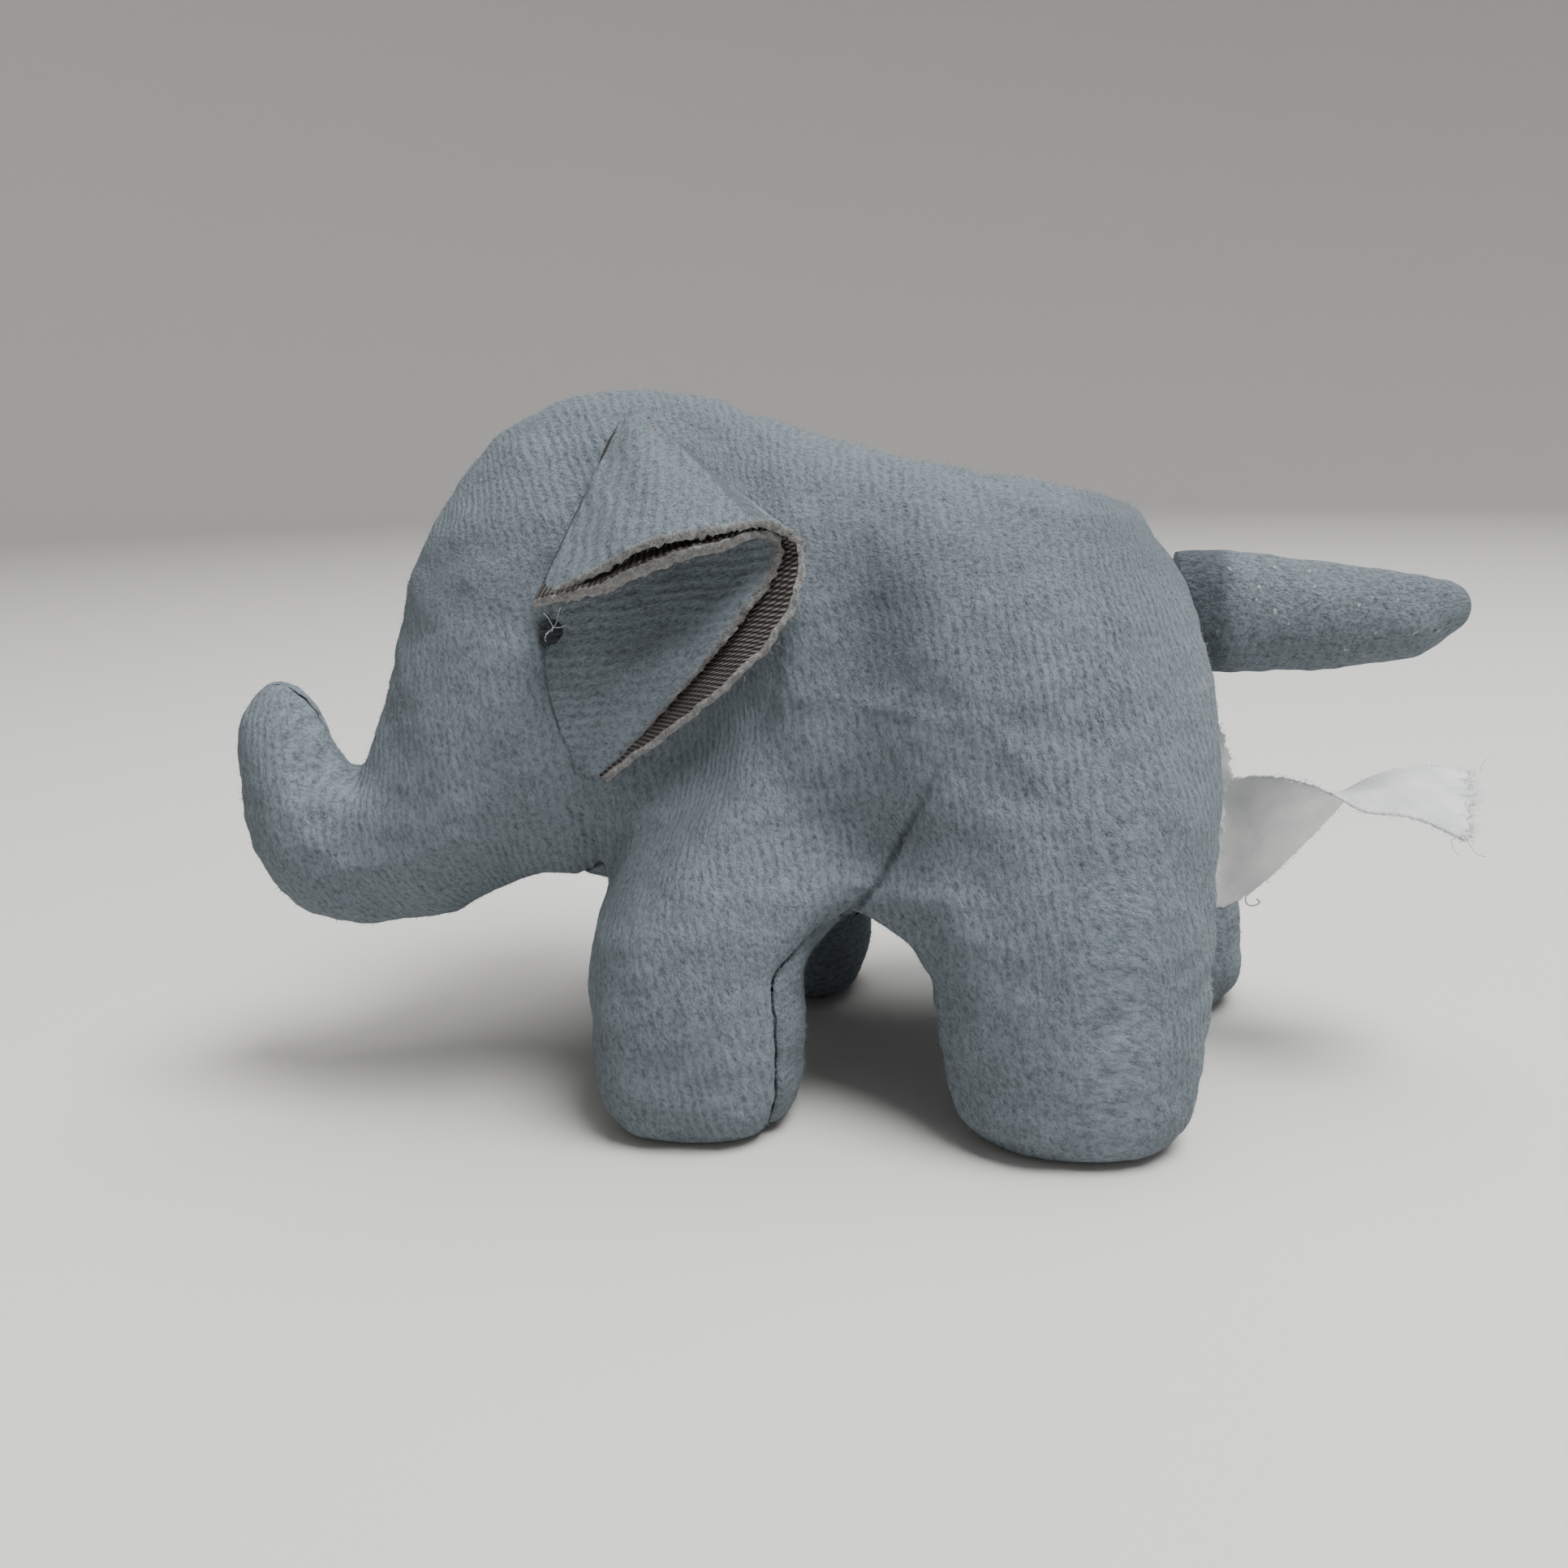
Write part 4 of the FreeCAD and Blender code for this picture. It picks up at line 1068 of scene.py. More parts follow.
def lump_of_filling(name, node, region, body):
    """A loose wad of fibre that fills one region inside the skin."""
    share = field[::2, ::2, ::2] + SKIN + FILLING_DEPTH
    places = [axis[::2] for axis in axes]
    grid = np.meshgrid(*places, indexing="ij")
    flat = np.stack([part.ravel() for part in grid], axis=1)
    tufty = 0.5 * waves(flat, 9.0, 21, 12).reshape(share.shape)
    lump = np.maximum(share + tufty, region(*grid))
    lump[[0, -1]] = lump[:, [0, -1]] = lump[:, :, [0, -1]] = 5.0
    made, quads, _ = surface_nets(lump, places)
    made[:, 2] = np.maximum(made[:, 2], SKIN + 0.3)
    wad = make_mesh(name, to_toy(made), quads.tolist(), FILLING)
    declare(wad, body, node)


LEG_TOP = 21.0                          # the legs' wads end a little below this height
TRUNK_FILLING = 88.0                    # the trunk's wad begins here
TAIL_HIGH, TAIL_ROOM = 51.0, 10.0       # the torso's wad leaves this round the tail's root
lump_of_filling("torso_stuffing", "torso_filling",
                lambda ahead, right, high: np.maximum(
                    np.maximum(ahead - NECK, LEG_TOP - high),
                    TAIL_ROOM - np.hypot(np.hypot(ahead, right), high - TAIL_HIGH)), "root")
lump_of_filling("head_stuffing", "head_filling",
                lambda ahead, right, high: np.maximum(np.maximum(NECK + 1 - ahead, LEG_TOP - high),
                                                      ahead - TRUNK_FILLING + 2.5), "root")
lump_of_filling("trunk_stuffing", "trunk_filling",
                lambda ahead, right, high: TRUNK_FILLING - ahead, "trunk")
for pair, leg in (("front", FRONT_LEG), ("hind", HIND_LEG)):
    for hand, side in HANDS:
        def leg_region(ahead, right, high, side=side, leg=leg):
            far = np.abs(ahead - leg["middle"] + 4) - 19.0
            return np.maximum(np.maximum(high - LEG_TOP + 1, 3.0 - right * side), far)

        which = f"{hand}_{pair}_leg"
        lump_of_filling(which + "_stuffing", which + "_filling", leg_region, "root")


# --- the tail -----------------------------------------------------------------------------------
# Behind the rump, half the height, half the width, middle's height.
TAIL = [
    (-3.6, 6.5, 4.4, 50.0), (0.0, 6.4, 4.9, 50.2), (8.6, 5.7, 4.6, 49.8), (14.0, 5.2, 4.3, 49.6),
    (18.5, 4.6, 3.8, 49.5), (21.4, 3.9, 3.3, 49.8), (23.6, 2.9, 2.6, 50.2), (25.0, 1.8, 1.6, 50.4),
    (25.7, 0.4, 0.4, 50.5)]


def tail_mesh(name, shrink, rings, sides, material, lumpy):
    """The tail as a soft cone, its wide end set into the rump."""
    sections = open_curve(TAIL, rings)
    sections[:, 1:3] = np.maximum(sections[:, 1:3] - shrink, 0.15)
    sections[:, 0] = np.minimum(sections[:, 0], TAIL[-1][0] - shrink)
    angle = np.arange(sides) / sides * 2 * math.pi
    behind, high, wide, middle = sections.T
    ring = np.stack([np.broadcast_to(RUMP + behind[:, None], (rings, sides)),
                     wide[:, None] * np.cos(angle)[None],
                     middle[:, None] + high[:, None] * np.sin(angle)[None]], axis=2).reshape(-1, 3)
    faces = ring_faces(rings, sides)
    fans = [(a, b, c) for a, b, c, *_ in faces[:-2]] + [(a, c, d) for a, _, c, d in faces[:-2]]
    out = vertex_normals(ring, np.array(fans))
    if (out * (ring - ring.mean(axis=0))).sum() < 0:
        out = -out
    bumps = lumpy * (0.12 * waves(ring, 6.0, 31) + 0.05 * waves(ring, 2.6, 32))
    ring = ring + out * bumps[:, None]
    around = np.broadcast_to(angle[None] * 5.0, (rings, sides)).ravel()
    along = np.broadcast_to(behind[:, None], (rings, sides)).ravel()
    # painted shade where the tail's root goes into the rump
    painted_root_shade = 0.75 * smooth_step((2.6 - along) / 2.6)
    cloth = np.stack([around, along, around * 0], axis=1)
    return make_mesh(name, ring, faces, material, attributes={"cloth": cloth, "painted_shade": painted_root_shade})


tail = tail_mesh("tail_velour", 0.0, 90, 64, TAIL_VELOUR, 1.0)
declare(tail, "tail", "tail_skin")
wad = tail_mesh("tail_stuffing", SKIN + 0.4, 30, 20, FILLING, 1.6)
declare(wad, "tail", "tail_filling")


def knot(name, middle, size, material, seed, turns, thread):
    """A small tight knot: loops of thread wound over one another."""
    source = np.random.default_rng(seed)
    parts = []
    for _ in range(turns):
        normal = unit(source.normal(size=3))
        across = unit(np.cross(normal, (0.2, 0.9, 0.3)))
        up = np.cross(normal, across)
        angle = np.linspace(0, 2 * math.pi * 0.94, 26)[:, None]
        radius = source.uniform(0.55, 0.9)
        loop = (across * np.cos(angle) + up * np.sin(angle)) * radius
        loop = loop + normal * 0.25 * source.normal()
        parts.append(tube(np.array(middle) + loop * np.array(size), thread, 7))
    return many(name, parts, material)


made = knot("tail_stitch_knot", TAIL_ROOT, (1.0, 1.0, 1.0), SEAM_THREAD, 41, 6, 0.3)
declare(made, "tail_root", "tail_knot")

# --- eyes ---------------------------------------------------------------------------------------
EYE_GUESS_OUT = 16.0                    # settled onto the surface from here
EYE_PROUD, TIE_DEPTH = 0.95, 1.2        # the knot stands out of its dent; the tie starts under it
END_LENGTHS = (3.6, 4.6, 3.0)           # the loose ends of the eyes' thread
tie_ends = []
for hand, side in HANDS:
    place = settle(np.array([(EYE_PLACE[0], side * EYE_GUESS_OUT, EYE_PLACE[2])]), field, axes, 5)
    hollow = relief(place)[0][0]
    slope = sunk_surface(place)[1]
    at_place = to_toy(place)[0]
    middle = to_toy(place - slope * (hollow - EYE_PROUD))[0]
    out = to_toy(place + slope)[0] - at_place
    front = to_toy(place + (1.0, 0, 0))[0] - at_place
    tie_ends.append(to_toy(place - slope * (hollow + TIE_DEPTH))[0])
    eye = knot(hand + "_eye_knot", middle, (1.15, 1.0, 1.6), EYE_THREAD, 50 + side, 12, 0.36)
    declare(eye, "root", hand + "_eye")
    ends = [curl(middle + out * 0.9 + front * 0.6 + np.array((0, 0, 0.4 * k - 0.6)),
                 out * 0.5 + front * (1.0 - 0.9 * k) + np.array((0, 0, 0.9 - 0.8 * k)),
                 length, 1.0, 60 + k + side, 0.032) for k, length in enumerate(END_LENGTHS)]
    declare(many(hand + "_eye_thread_ends", ends, PALE_THREAD), "root")
tie = many("eye_tie", [stitches(np.linspace(*tie_ends, 60), 3.0, 0.25)], EYE_THREAD)
declare(tie, "root", "eye_tie_thread")


# --- the ears -----------------------------------------------------------------------------------
# Each ear is two layers of velour, wrong sides together, folded over at its back corner. A layer
# runs in rays from a start line to its cut edge: first the flap, from the crown to the arched front
# edge, then round the corner and down the front face. Points are ahead of the neck line, high, out.
CROWN = (11.4, 71.9, 13.2)
LAYERS = {
    "outer": {
        "starts": [(12.6, 71.4, 12.8), CROWN, (10.6, 71.6, 13.4), (10.3, 70.8, 12.5),
                   (10.4, 70.2, 12.2), (14.5, 62.0, 11.5), (17.0, 52.0, 13.0), (17.5, 46.0, 13.6),
                   (17.3, 37.6, 15.6)],
        "edges": [(22.2, 54.6, 18.3), (17.2, 57.5, 22.4), (12.3, 60.1, 24.9), (6.4, 61.2, 25.4),
                  (0.2, 61.4, 23.6), (-2.4, 58.4, 22.8), (-0.6, 52.6, 24.2), (5.0, 46.4, 23.8),
                  (16.4, 36.9, 18.2)],
        "bow": [0.5, 0.9, 1.2, 1.3, 1.3, -3.0, -4.2, -3.0, -0.6]},
    "inner": {
        "starts": [(12.6, 70.2, 12.0), (11.6, 70.8, 12.2), (11.2, 70.4, 12.4), (11.0, 70.0, 12.6),
                   (11.2, 69.4, 12.6), (17.6, 60.0, 13.0), (20.6, 52.0, 13.2), (21.0, 46.0, 13.6),
                   (19.0, 37.6, 14.6)],
        "edges": [(21.8, 54.2, 17.9), (16.6, 55.3, 21.5), (12.0, 57.3, 23.4), (6.4, 58.8, 24.0),
                  (1.5, 59.9, 22.8), (0.0, 58.0, 22.2), (3.4, 53.2, 22.4), (8.0, 47.7, 21.9),
                  (16.8, 37.3, 18.0)],
        "bow": [0.2, 0.3, 0.3, 0.2, 0.2, -1.6, -0.6, 0.8, 0.9]},
}
LAYER_THICK = 0.85
FLAP_SHARE = 0.5                        # rays up to here belong to the flap
OUTER_CLEAR, INNER_CLEAR, NO_MARGIN = 2.2, 0.2, -30.0       # how far the flap clears the head
PILE_SIDE, WRONG_SIDE, CUT_EDGE = 0, 1, 2                   # the ears' material slots
RIM_SHARES = (0.2, 0.5, 0.8)            # rows of points across the thickness of the cut edge


def ear_surface(layer, side, rays, steps):
    """A grid of points of one layer, in the pattern, and the places of its rays and its steps."""
    table = LAYERS[layer]
    knots = np.linspace(0, 1, len(table["starts"]))
    ray = np.linspace(0, 1, rays)

    starts, edges = (open_by_knots(np.array(table[key]), knots, ray) for key in ("starts", "edges"))
    bow = open_by_knots(np.array(table["bow"])[:, None], knots, ray)[:, 0]
    step = np.linspace(0, 1, steps) ** 0.9
    grid = starts[:, None] * (1 - step)[None, :, None] + edges[:, None] * step[None, :, None]
    grid[..., 2] += bow[:, None] * (4 * step * (1 - step))[None]
    places = np.stack([NECK + grid[..., 0], side * grid[..., 2], grid[..., 1]], axis=-1)
    return places, ray, step


def open_by_knots(rows, knots, at):
    """A smooth curve through rows given at knots, read at other places."""
    slopes = np.gradient(rows, knots, axis=0)
    index = np.clip(np.searchsorted(knots, at, side="right") - 1, 0, len(knots) - 2)
    gap = (knots[index + 1] - knots[index])[:, None]
    t = (at - knots[index])[:, None] / gap
    a, b = rows[index], rows[index + 1]
    return ((2 * t ** 3 - 3 * t ** 2 + 1) * a + (t ** 3 - 2 * t ** 2 + t) * gap * slopes[index]
            + (3 * t ** 2 - 2 * t ** 3) * b + (t ** 3 - t ** 2) * gap * slopes[index + 1])


SPIKE_ANGLES = (0, 2.1, 4.2)            # a spike's three corners, in radians


def spikes(name, roots, heading, across, radius, tall, material, place=np.array):
    """One object of many three-sided spikes; place() takes their points to the toy."""
    up = np.cross(heading, across)
    rings = [roots + radius * (across * math.cos(t) + up * math.sin(t)) for t in SPIKE_ANGLES]
    corners = place(np.stack([*rings, roots + heading * tall], axis=1).reshape(-1, 3))
    pattern = np.array([(0, 1, 3), (1, 2, 3), (2, 0, 3), (0, 2, 1)])
    faces = (4 * np.arange(len(roots))[:, None, None] + pattern[None]).reshape(-1, 3)
    a, b, c, d = corners[:4]
    if np.dot(np.cross(b - a, d - a), c - a) > 0:
        faces = faces[:, ::-1]
    return mesh_object(name, corners, faces.tolist(), material)


def grid_normals(grid):
    return unit(np.cross(np.gradient(grid, axis=0), np.gradient(grid, axis=1)))


def lift_off(grid, margin):
    """Pushes points of a flap out until they clear the stuffed head by a margin."""
    flat = grid.reshape(-1, 3)
    value, out = sunk_surface(flat)
    short = np.maximum(margin.reshape(-1) - value, 0)
    return (flat + out * short[:, None]).reshape(grid.shape)


def melt_in(grid, share, under=-0.25, reach=1.7):
    """Lets part of a layer rise out of the head's surface so gently that it shows no edge."""
    flat = grid.reshape(-1, 3)
    value, out = sunk_surface(flat)
    above = value - under
    wanted = under + (above + np.sqrt(above ** 2 + reach ** 2)) / 2
    return grid + (out * ((wanted - value) * share.reshape(-1))[:, None]).reshape(grid.shape)


def ear_layer(hand, side, layer):
    """One layer as a closed shell: pile side, wrong side, and a rounded raw edge."""
    rays, steps = ((150, 56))
    grid, ray, step = ear_surface(layer, side, rays, steps)
    flap = 1 - smooth_step((ray - FLAP_SHARE + 0.06) / 0.05)
    on_flap = flap[:, None] > 0.5
    if layer == "outer":
        risen = smooth_step(ray / 0.06)[:, None] * smooth_step(step / 0.1)[None]
        grid = lift_off(grid, np.where(on_flap, OUTER_CLEAR * risen - 0.5, NO_MARGIN))
    else:
        grid = lift_off(grid, np.where(on_flap, INNER_CLEAR, NO_MARGIN) + step[None] * 0)
        on_face = smooth_step((ray - 0.52) / 0.06)[:, None]
        near_head = smooth_step((0.75 - step) / 0.5)[None] * on_face
        grid = melt_in(grid, near_head)
    normals = grid_normals(grid)
    flap_rays = ray < FLAP_SHARE - 0.1
    outward = (normals[flap_rays][:, steps // 2, 1] * side).mean() > 0
    outer_side = normals if outward else -normals
    pile = outer_side if layer == "outer" else -outer_side
    lumps = 0.1 * waves(grid.reshape(-1, 3), 5.0, 71 + (layer == "inner")).reshape(rays, steps)
    fray = smooth_step((step - 0.94) / 0.06)[None] * 0.12
    fray = fray * waves(grid.reshape(-1, 3), 1.1, 73).reshape(rays, steps)
    front = grid + pile * (lumps + fray)[..., None]
    thick = np.full((rays, steps), LAYER_THICK)
    if layer == "inner":
        arch = flap * np.sin(math.pi * np.clip(ray / FLAP_SHARE, 0, 1)) ** 0.5
        thick += 0.9 * smooth_step((step - 0.9) / 0.1)[None] * arch[:, None]
    back = front - pile * thick[..., None]
    edge_out = unit(front[:, -1] - front[:, -2])
    rim = []
    for share in RIM_SHARES:
        bulge = 0.42 * math.sin(share * math.pi)
        ragged = 1 + 0.5 * waves(front[:, -1] + share, 0.9, 77)
        rim.append(front[:, -1] * (1 - share) + back[:, -1] * share
                   + edge_out * (bulge * ragged)[:, None])
    size = rays * steps
    shell = np.vstack([front.reshape(-1, 3), back.reshape(-1, 3), *rim])
    faces, kinds = [], []

    def add_face(corners, kind):
        faces.append(corners)
        kinds.append(kind)

    for i in range(rays - 1):
        for j in range(steps - 1):
            a, b = i * steps + j, (i + 1) * steps + j
            add_face((a, b, b + 1, a + 1), CUT_EDGE if j >= steps - 2 else PILE_SIDE)
            add_face((a + size, a + 1 + size, b + 1 + size, b + size), WRONG_SIDE)

    def round_edge(i):
        last = i * steps + steps - 1
        return [last, *(2 * size + k * rays + i for k in range(len(rim))), last + size]

    for i in range(rays - 1):
        add_face((i * steps, i * steps + size, (i + 1) * steps + size, (i + 1) * steps), PILE_SIDE)
        chain, after = round_edge(i), round_edge(i + 1)
        for k in range(len(rim) + 1):
            add_face((chain[k], after[k], after[k + 1], chain[k + 1]), CUT_EDGE)
    for i, turn in ((0, 1), (rays - 1, -1)):
        chain = [i * steps + j for j in range(steps - 1)] + round_edge(i)
        chain += [i * steps + j + size for j in range(steps - 2, -1, -1)]
        add_face(tuple(chain[::turn]), PILE_SIDE)
    lengths = lengths_along(front[:, -1])
    ahead, right, high = np.moveaxis(grid, -1, 0)
    ribs_on_flap = np.stack([ahead * 0.95 + 0.25 * high, high, right], axis=-1)
    ribs_on_face = np.stack([high + 0.1 * ahead, ahead, right], axis=-1)
    cloth = ribs_on_flap * flap[:, None, None] + ribs_on_face * (1 - flap)[:, None, None]
    weave = np.stack([np.broadcast_to(lengths[:, None], (rays, steps)),
                      np.broadcast_to(step[None] * 18.0, (rays, steps)), right * 0], axis=-1)
    values = np.vstack([cloth.reshape(-1, 3), weave.reshape(-1, 3), *[cloth[:, -1]] * 3])
    made = make_mesh(f"{hand}_ear_{layer}", head_to_toy(shell), faces, EAR_VELOUR, BACKING,
                     RAW_EDGE, attributes={"cloth": values})
    kind_of = {tuple(sorted(face)): kind for face, kind in zip(faces, kinds)}
    for polygon in made.data.polygons:
        polygon.material_index = kind_of.get(tuple(sorted(polygon.vertices)), PILE_SIDE)
    return made, front, edge_out


def hairs(name, line, outward, count, length, radius, material, seed):
    """Short loose fibres along a raw edge, as thin three-sided spikes."""
    source = np.random.default_rng(seed)
    index = source.uniform(0, len(line) - 1.001, count)
    low = index.astype(int)
    part = (index - low)[:, None]
    roots = line[low] * (1 - part) + line[low + 1] * part
    heading = unit(outward[low] + 0.75 * source.normal(size=(count, 3)))
    roots = roots + 0.22 * source.normal(size=(count, 3)) - heading * 0.2
    tall = length * source.uniform(0.4, 1.3, count)[:, None]
    across = unit(np.cross(heading, source.normal(size=(count, 3))))
    return spikes(name, roots, heading, across, radius, tall, material)


for hand, side in HANDS:
    for layer in ("outer", "inner"):
        made, front, edge_out = ear_layer(hand, side, layer)
        declare(made, node=f"{hand}_ear_{layer}_layer")
        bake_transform(made)
        rim_line = head_to_toy(front[:, -1] + edge_out * 0.2)
        rim_out = head_to_toy(front[:, -1] + edge_out) - head_to_toy(front[:, -1])
        loose = hairs(f"{hand}_ear_{layer}_fray", rim_line, rim_out, 900, 0.55, 0.03, RAW_EDGE,
                      80 + (layer == "inner"))
        declare(loose)
        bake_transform(loose)

# --- the care label -----------------------------------------------------------------------------
LABEL_WIDE, LABEL_LONG, LABEL_THICK = 14.9, 33.0, 0.28
# Behind the rump, to the right, high: the middle of the ribbon, and how far it is twisted there.
LABEL_MIDDLE = [(-1.4, 0.0, 25.2), (1.4, 0.1, 25.2), (3.8, 0.0, 25.4), (7.4, -0.6, 27.2),
                (11.2, -1.2, 29.3), (14.9, -1.2, 30.9), (18.6, -0.8, 31.6), (22.6, -0.6, 31.2),
                (27.0, -1.2, 30.2)]
LABEL_TWIST = [(0.0, 0.0), (0.14, 4.0), (0.26, 18.0), (0.42, 46.0), (0.64, 87.0), (0.82, 99.0),
               (1.0, 107.0)]            # share of its length, degrees
LABEL_CLEAR = 0.3                       # no loose fibres this near the sewn end: it swings there


def sheet_shell(name, grid, half, cloth):
    """A closed ribbon: a grid of points with half its thickness on either side."""
    rows, across = grid.shape[:2]
    size = rows * across
    shell = np.vstack([(grid + half).reshape(-1, 3), (grid - half).reshape(-1, 3)])
    faces = []
    for i in range(rows - 1):
        for j in range(across - 1):
            a, b = i * across + j, (i + 1) * across + j
            faces += [(a, b, b + 1, a + 1), (a + size, a + 1 + size, b + 1 + size, b + size)]
    rim = [i * across for i in range(rows)] + [(rows - 1) * across + j for j in range(1, across)]
    rim += [i * across + across - 1 for i in range(rows - 2, -1, -1)]
    rim += list(range(across - 2, 0, -1))
    for a, b in zip(rim, rim[1:] + rim[:1]):
        faces.append((b, a, a + size, b + size))
    places = np.stack(np.broadcast_arrays(*cloth, 0.0), axis=-1).reshape(-1, 3)
    return make_mesh(name, shell, faces, RIBBON, attributes={"cloth": np.vstack([places] * 2)})


def label_ribbon():
    """The ribbon, twisted once towards the camera's side, with a frayed cut end."""
    rows, across = 150, 40
    line = open_curve(LABEL_MIDDLE, rows)
    share = np.linspace(0, 1, rows)
    knots = np.array(LABEL_TWIST)
    twist = np.radians(open_by_knots(knots[:, 1:], knots[:, 0], share)[:, 0])
    cross = unit(np.stack([-0.3 * np.sin(twist) * share, -np.sin(twist), np.cos(twist)], axis=1))
    place = np.linspace(-0.5, 0.5, across)
    along = unit(np.gradient(line, axis=0))
    normal = unit(np.cross(along, cross))
    grid = line[:, None] + cross[:, None] * (place * LABEL_WIDE)[None, :, None]
    curled = 1.3 * np.sin(math.pi * share)[:, None] * (place ** 2 * 4 - 0.4)[None]
    slack = 0.35 * waves(grid.reshape(-1, 3), 9.0, 91).reshape(rows, across) * share[:, None]
    ends = smooth_step((share - 0.95) / 0.05)[:, None] * 0.5
    ragged = ends * waves(np.stack([place * 60, place * 0, place * 0], axis=1), 5.0, 92)[None]
    grid = grid + normal[:, None] * (curled + slack)[..., None] + along[:, None] * ragged[..., None]
    edge = np.where(np.abs(place) > 0.49, 1.0, 0.0)[None, :, None] * 0.12
    worn = waves(grid.reshape(-1, 3), 0.8, 93).reshape(rows, across, 1)
    grid = grid + edge * cross[:, None] * worn
    grid[..., 0] += RUMP
    made = sheet_shell("care_label_ribbon", grid, grid_normals(grid) * LABEL_THICK / 2,
                       (place[None] * LABEL_WIDE, share[:, None] * LABEL_LONG))
    declare(made, "label", "care_label")
    cut_out = np.broadcast_to(along[-1], grid[-1].shape)
    frays = [hairs("label_cut_fray", grid[-1], cut_out, 260, 1.5, 0.045, RIBBON, 94)]
    clear = int(rows * LABEL_CLEAR)
    for name, j, way in (("top", across - 1, 1), ("low", 0, -1)):
        frays.append(hairs(f"label_{name}_fray", grid[clear:, j], cross[clear:] * way, 280, 0.55,
                           0.04, RIBBON, 95 + j))
    low_corner, top_corner = grid[-1, -1], grid[-1, 0]
    crease_low = grid[int(rows * 0.24), 0]
    threads = [curl(low_corner + (0, 0, 0.3), (0.4, -0.1, -1.0), 3.4, 0.5, 97, 0.06),
               curl(low_corner + (-1.5, 0, 0.2), (-0.1, -0.1, -1.0), 2.2, 0.6, 98, 0.05),
               curl(top_corner + (0, 0, -0.6), (1.0, 0.0, -0.8), 6.5, 0.7, 99, 0.035),
               curl(crease_low, (-1.0, -0.4, -0.5), 3.6, 0.9, 101, 0.09)]
    loose = many("label_loose_threads", threads, RIBBON)
    for piece in (*frays, loose):
        declare(piece, "label")


def label_sewn_end():
    """The label's end in the back seam, and its crinkled edge that stands out above the ribbon."""
    heights = np.linspace(38.6, 18.0, 60)
    reach = np.interp(heights, [18.0, 22.0, 31.5, 33.5, 36.0, 38.6], [1.6, 2.2, 2.6, 3.0, 2.5, 1.4])
    reach = reach + 0.18 * np.sin(heights * 3.1) + 0.12 * np.sin(heights * 7.3)
    steps = np.linspace(0, 1, 12)
    rump_at = np.interp(heights, [18.0, 21.5, 28.0, 38.4], [-4.0, -3.0, -1.5, -0.6])
    behind = rump_at[:, None] * (1 - steps)[None] + reach[:, None] * steps[None]
    wave = (0.8 * np.sin(heights * 1.1) - 0.6)[:, None] * steps[None] ** 2
    grid = np.stack([RUMP + behind, wave, np.broadcast_to(heights[:, None], behind.shape)], axis=-1)
    half = np.array((0, LABEL_THICK, 0))
    made = sheet_shell("care_label_fold", grid, half, (heights[:, None], behind))
    declare(made, "root", "care_label_sewn_end")
    out = np.broadcast_to(np.array((1.0, 0, 0.2)), (len(grid), 3))
    loose = hairs("label_fold_fray", grid[:, -1], out, 160, 0.7, 0.04, RIBBON, 103)
    declare(loose, "root")


label_ribbon()
label_sewn_end()


# --- the pile's longer fibres -------------------------------------------------------------------
FIBRE_RADIUS, FIBRE_SUNK = 0.028, 0.1
SOLE_CLEAR, LEAST_OUTWARD = 1.5, 0.1    # fibres stay off the soles and point away from the skin


def pile_fibres(count):
    """Fine fibres that stand out of the body's velour and soften its outline."""
    source = np.random.default_rng(111)
    corners = shaped[triangles]
    edges = corners[:, 1:] - corners[:, :1]
    area = np.linalg.norm(np.cross(edges[:, 0], edges[:, 1]), axis=1)
    chosen = source.choice(len(triangles), count, p=area / area.sum())
    share = source.dirichlet((1, 1, 1), count)
    roots = (corners[chosen] * share[..., None]).sum(axis=1)
    out = (shaped_normals[triangles[chosen]] * share[..., None]).sum(axis=1)
    leaning = source.uniform(0.25, 1.0, (count, 1))
    heading = unit(out * leaning + 0.8 * source.normal(size=(count, 3)))
    keep = (roots[:, 2] > SOLE_CLEAR) & ((heading * out).sum(axis=1) > LEAST_OUTWARD)
    keep &= np.linalg.norm(roots - (0.0, 0.0, TAIL_HIGH), axis=1) > TAIL_ROOM
    roots, heading = roots[keep], heading[keep]
    tall = source.uniform(0.25, 0.75, len(roots))[:, None]
    across = unit(np.cross(heading, (0.3, 0.8, 0.52)))
    made = spikes("body_pile", roots - heading * FIBRE_SUNK, heading, across, FIBRE_RADIUS,
                  tall + FIBRE_SUNK, PILE, place=to_toy)
    declare(made)
    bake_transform(made)


def pile_material(name):
    made = Nodes(name)
    place = made.object_place()
    patches = made.noise(place, 1500.0, 2.0)
    colour = made.ramp(patches, [(0.3, (0.12, 0.14, 0.15)), (0.7, (0.3, 0.34, 0.36))])
    return made.finish(colour, roughness=0.9, sheen=0.2)


PILE = pile_material("pile_fibre")
pile_fibres(42000)


# --- the picture --------------------------------------------------------------------------------
FLOOR_COLOUR = (0.6, 0.59, 0.57)
LIGHT_AIM = (0, 0, 0.03)
CAMERA_ANGLES = (8.0, 14.0, 1.3)        # degrees: azimuth, downward pitch, roll
CAMERA_PLACE, CAMERA_LENS = (0.013498, -0.15244, 0.069525), 32.6


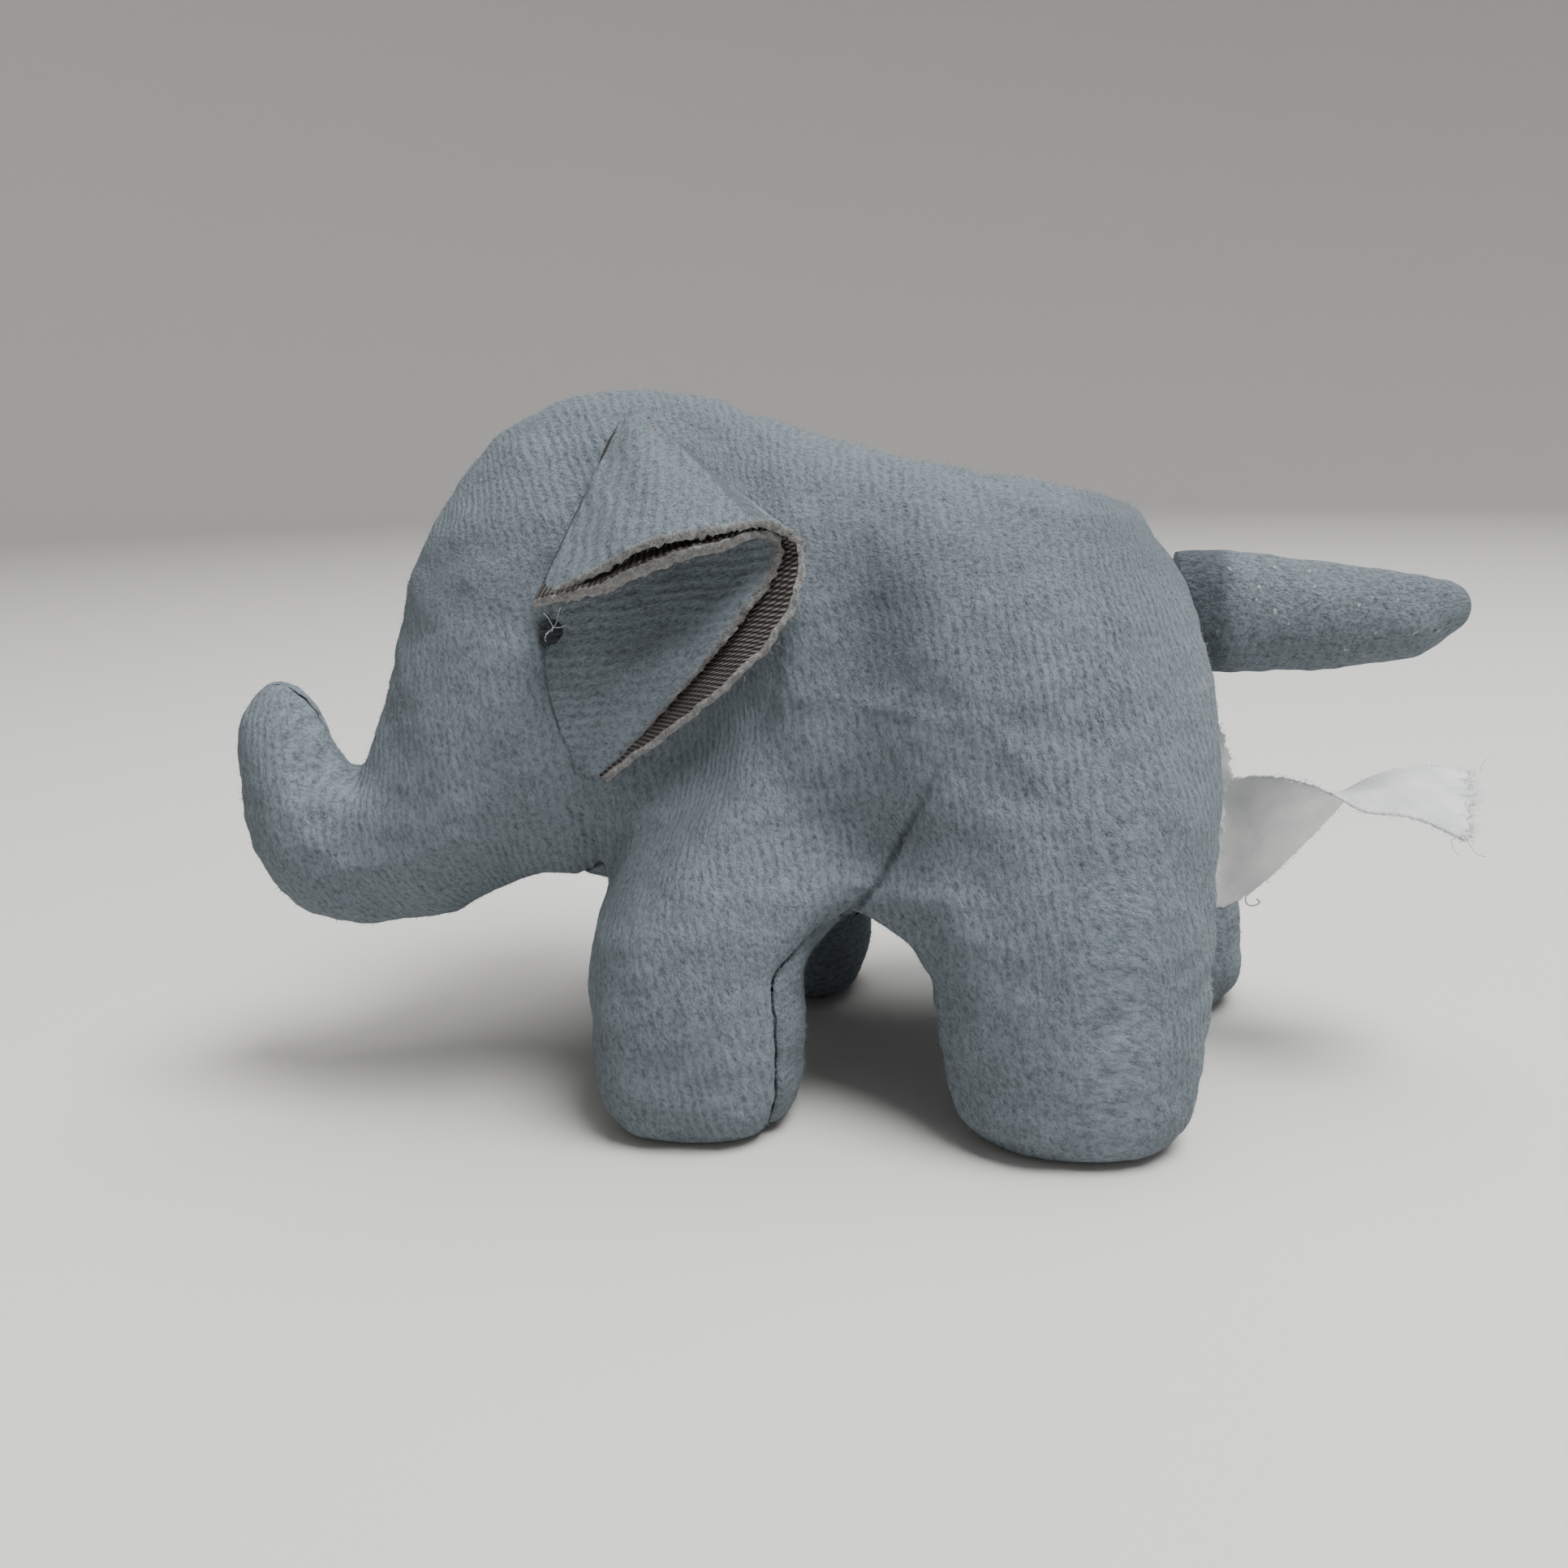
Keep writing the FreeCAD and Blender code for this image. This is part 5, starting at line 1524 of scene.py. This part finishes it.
def floor():
    """A pale round floor that curves up into a wall, the same from every side."""
    flat, bend, turns = 1.1, 0.5, 96
    profile = [(0.0, 0.0), (0.5, 0.0), (flat, 0.0)]
    profile += [(flat + bend * math.sin(t), bend - bend * math.cos(t))
                for t in np.linspace(0.1, 1.5, 14)]
    profile += [(1.62, 1.6)]
    corners = [(r * math.cos(2 * math.pi * k / turns), r * math.sin(2 * math.pi * k / turns), z)
               for r, z in profile[1:] for k in range(turns)]
    corners.append((0.0, 0.0, 0.0))
    faces = [(len(corners) - 1, k, (k + 1) % turns) for k in range(turns)]
    for row in range(len(profile) - 2):
        for k in range(turns):
            n, low, high = (k + 1) % turns, row * turns, (row + 1) * turns
            faces.append((low + k, high + k, high + n, low + n))
    mesh = bpy.data.meshes.new("floor")
    mesh.from_pydata(corners, [], faces)
    mesh.shade_smooth()
    mesh.materials.append(Nodes("paper_pale").finish((*FLOOR_COLOUR, 1.0), roughness=0.8))
    add_object("floor", mesh)


def light(name, place, size, power):
    """A round studio light, aimed at the middle of the toy."""
    data = bpy.data.lights.new(name, "AREA")
    data.shape = "DISK"
    data.size = size
    data.energy = power
    made = add_object(name, data)
    made.location = place
    made.rotation_mode = "QUATERNION"
    made.rotation_quaternion = (Vector(LIGHT_AIM) - Vector(place)).to_track_quat("-Z", "Y")


def picture_camera():
    """Stands on the toy's left, a little above it, and leans slightly."""
    azimuth, pitch, roll = (math.radians(angle) for angle in CAMERA_ANGLES)
    forward = Vector((-math.sin(azimuth) * math.cos(pitch), math.cos(azimuth) * math.cos(pitch),
                      -math.sin(pitch)))
    right = forward.cross(Vector((0, 0, 1))).normalized()
    up = right.cross(forward)
    across = right * math.cos(roll) - up * math.sin(roll)
    upward = right * math.sin(roll) + up * math.cos(roll)
    data = bpy.data.cameras.new("camera")
    data.sensor_width = 36.0
    data.lens = CAMERA_LENS
    data.clip_start = 0.005
    made = add_object("camera", data)
    made.rotation_mode = "QUATERNION"
    made.rotation_quaternion = Matrix((across, upward, -forward)).transposed().to_quaternion()
    made.location = CAMERA_PLACE
    bpy.context.scene.camera = made


floor()
light("window", (0.3, -0.2, 0.82), 0.45, 11.5)
light("ceiling", (0.15, 0.12, 0.9), 0.8, 7.5)
light("fill", (0.6, -0.7, 0.35), 0.7, 0.8)
world = bpy.data.worlds.new("studio")
world.use_nodes = True
background = world.node_tree.nodes["Background"].inputs
background["Color"].default_value = (0.97, 0.985, 1.0, 1.0)
background["Strength"].default_value = 0.3
bpy.context.scene.world = world
picture_camera()
